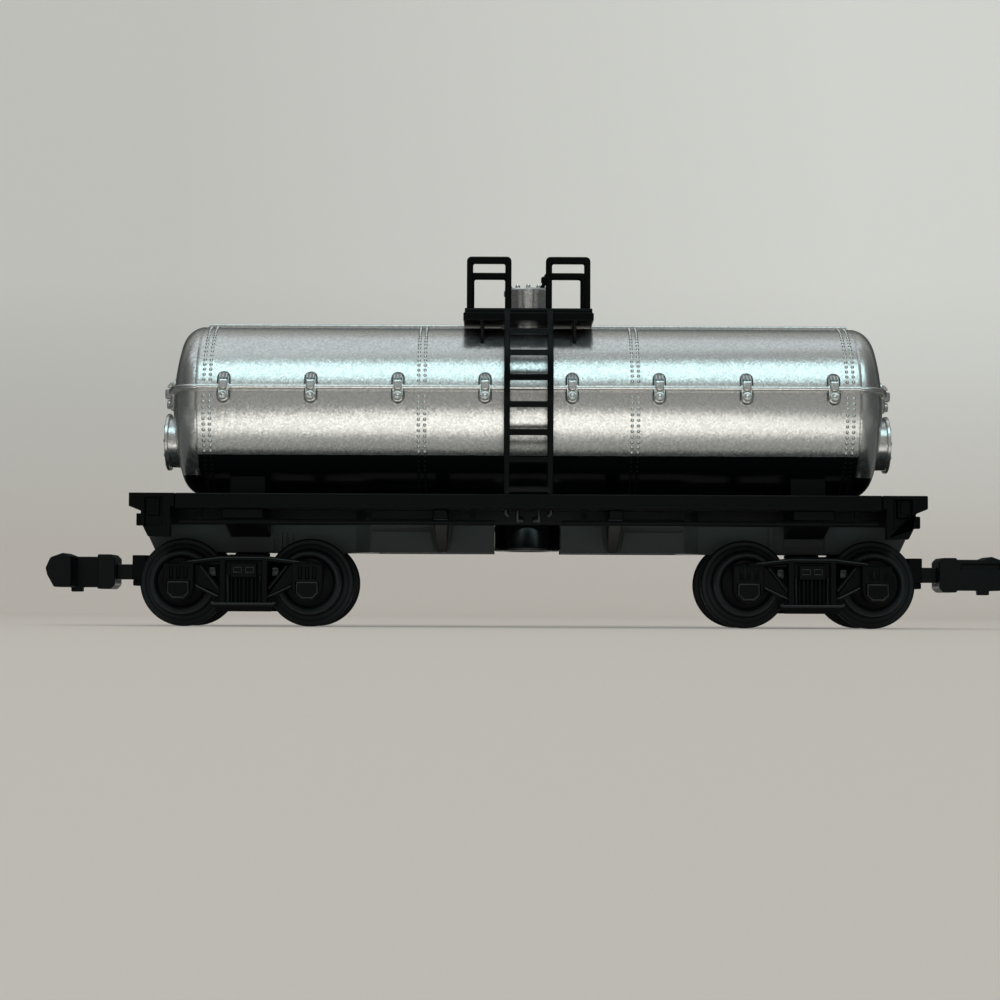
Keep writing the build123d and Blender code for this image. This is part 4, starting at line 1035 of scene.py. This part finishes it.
# %% Its glow, for gloss and for the camera
GLOW_COLOUR = (1.0, 0.985, 0.93, 1)
FLOOR_GLOW = 1.2
HIGH_GLOW = 0.28
HIGH_FROM, HIGH_TO = 0.2, 0.4
FLOOR_SEEN_GLOW, WALL_SEEN_GLOW = 0.185, 0.335
SEEN_FROM, SEEN_TO = 0.015, 0.08
height = parts, "Z"
forward = maths(tree, "MULTIPLY", (parts, "Y"), -1.0)
beside = maths(tree, "ABSOLUTE", (parts, "X"))
away = maths(tree, "ABSOLUTE", (parts, "Y"))
floor_mask = ramp_product(tree, (
    # value, where its ramp starts and ends in millimetres, and both levels
    (height, 0.0, 6.0, 1.0, 0.0),
    # painted shadow of the car: the glow in gloss drops near it
    (away, 25.0, 40.0, 0.2, 1.0),
    (forward, -70.0, -50.0, 0.0, 1.0),
    (forward, 200.0, 450.0, 1.0, 0.25),
    (beside, 32.0, 50.0, 1.0, 0.1),
), (rays, "Is Glossy Ray"), interpolation_type="SMOOTHSTEP")
floor_glow = maths(tree, "MULTIPLY", floor_mask, FLOOR_GLOW)
high = ramp(tree, height, HIGH_FROM, HIGH_TO, 0.0, HIGH_GLOW)
high_glow = maths(tree, "MULTIPLY", high, (rays, "Is Glossy Ray"))
backdrop = ramp(tree, height, SEEN_FROM, SEEN_TO, FLOOR_SEEN_GLOW, WALL_SEEN_GLOW)
seen_glow = maths(tree, "MULTIPLY", backdrop, (rays, "Is Camera Ray"))
glow = maths(tree, "ADD", floor_glow, maths(tree, "ADD", high_glow, seen_glow))
feed(tree, shader, {"Emission Color": GLOW_COLOUR, "Emission Strength": glow})
print("sheet material has", len(tree.nodes), "nodes")

# %% [markdown]
# ## Lamps and room
# A wide cool softbox in front and above gives the tank its bright upper band, and a weaker one stands for the
# ceiling. Lamps as points would give hard sparks instead of bands. The grey room fills the rest, darker to both
# ends so that the tank's heads fall off.

# %% Two softboxes
AIM = (0, 0, 0.018)


def softbox(name, place, width, height, glow, colour):
    """An area light aimed at the car. For the wanted glow of its face, its power is glow * pi * width * height."""
    lamp = bpy.data.lights.new(name, "AREA")
    lamp.shape = "RECTANGLE"
    lamp.size, lamp.size_y = width, height
    lamp.energy = glow * np.pi * width * height
    lamp.color = colour
    obj = put_in_scene(name, lamp)
    obj.location = place
    obj.rotation_euler = (Vector(place) - Vector(AIM)).to_track_quat("Z", "Y").to_euler()
    print(name, "shines with", round(lamp.energy, 2), "W")


softbox("window", place=(0.05, -0.30, 0.43), width=0.62, height=0.24, glow=1.34, colour=(0.635, 0.945, 1.0))
softbox("ceiling", place=(-0.1, 0.12, 0.7), width=1.0, height=0.5, glow=0.42, colour=(0.78, 0.91, 1.0))

# %% The grey room
ROOM_MIDDLE, ROOM_ENDS = (0.27, 0.265, 0.255, 1), (0.06, 0.06, 0.06, 1)
ROOM_SEEN = (0.58, 0.585, 0.56, 1)
ENDS_FROM, ENDS_TO = 0.4, 0.85
world = bpy.data.worlds.new("Room")
bpy.context.scene.world = world
world.use_nodes = True
tree = world.node_tree
spot = add(tree, "ShaderNodeTexCoord"), "Generated"
way = add(tree, "ShaderNodeSeparateXYZ", {0: spot})
sideways = ramp(tree, maths(tree, "ABSOLUTE", (way, "X")), ENDS_FROM, ENDS_TO)
room = mixed(tree, sideways, ROOM_MIDDLE, ROOM_ENDS)
rays = add(tree, "ShaderNodeLightPath")
feed(tree, tree.nodes["Background"], {"Color": mixed(tree, (rays, "Is Camera Ray"), room, ROOM_SEEN)})
bpy.context.scene.view_settings.view_transform = "Standard"
print("room:", world.name)

# %% [markdown]
# ## Camera
# The photograph was taken close up with a phone. The same view from floor level has the camera 195 mm in front
# of the car's middle, just above the floor and tilted up a little. A longer lens from farther away would
# flatten the car, so the distance comes first and the lens follows from it.

# %% Camera at the photograph's place
FOCAL_PIXELS = 2265.0
FRAME_PIXELS = 1000.0
SENSOR_WIDTH = 36.0
CAMERA_PLACE = (-2.3, -195.0, 1.5)
TILT_UP = 2.77
ROLL = -0.25
camera = bpy.data.cameras.new("camera")
camera.sensor_width = SENSOR_WIDTH
camera.lens = SENSOR_WIDTH * FOCAL_PIXELS / FRAME_PIXELS
camera.clip_start, camera.clip_end = 0.001, 10.0
viewer = put_in_scene("camera", camera)
viewer.location = [value * MM for value in CAMERA_PLACE]
viewer.rotation_euler = (radians(90 + TILT_UP), radians(ROLL), 0)
bpy.context.scene.camera = viewer
print("camera at", tuple(viewer.location), "lens", round(camera.lens, 1))
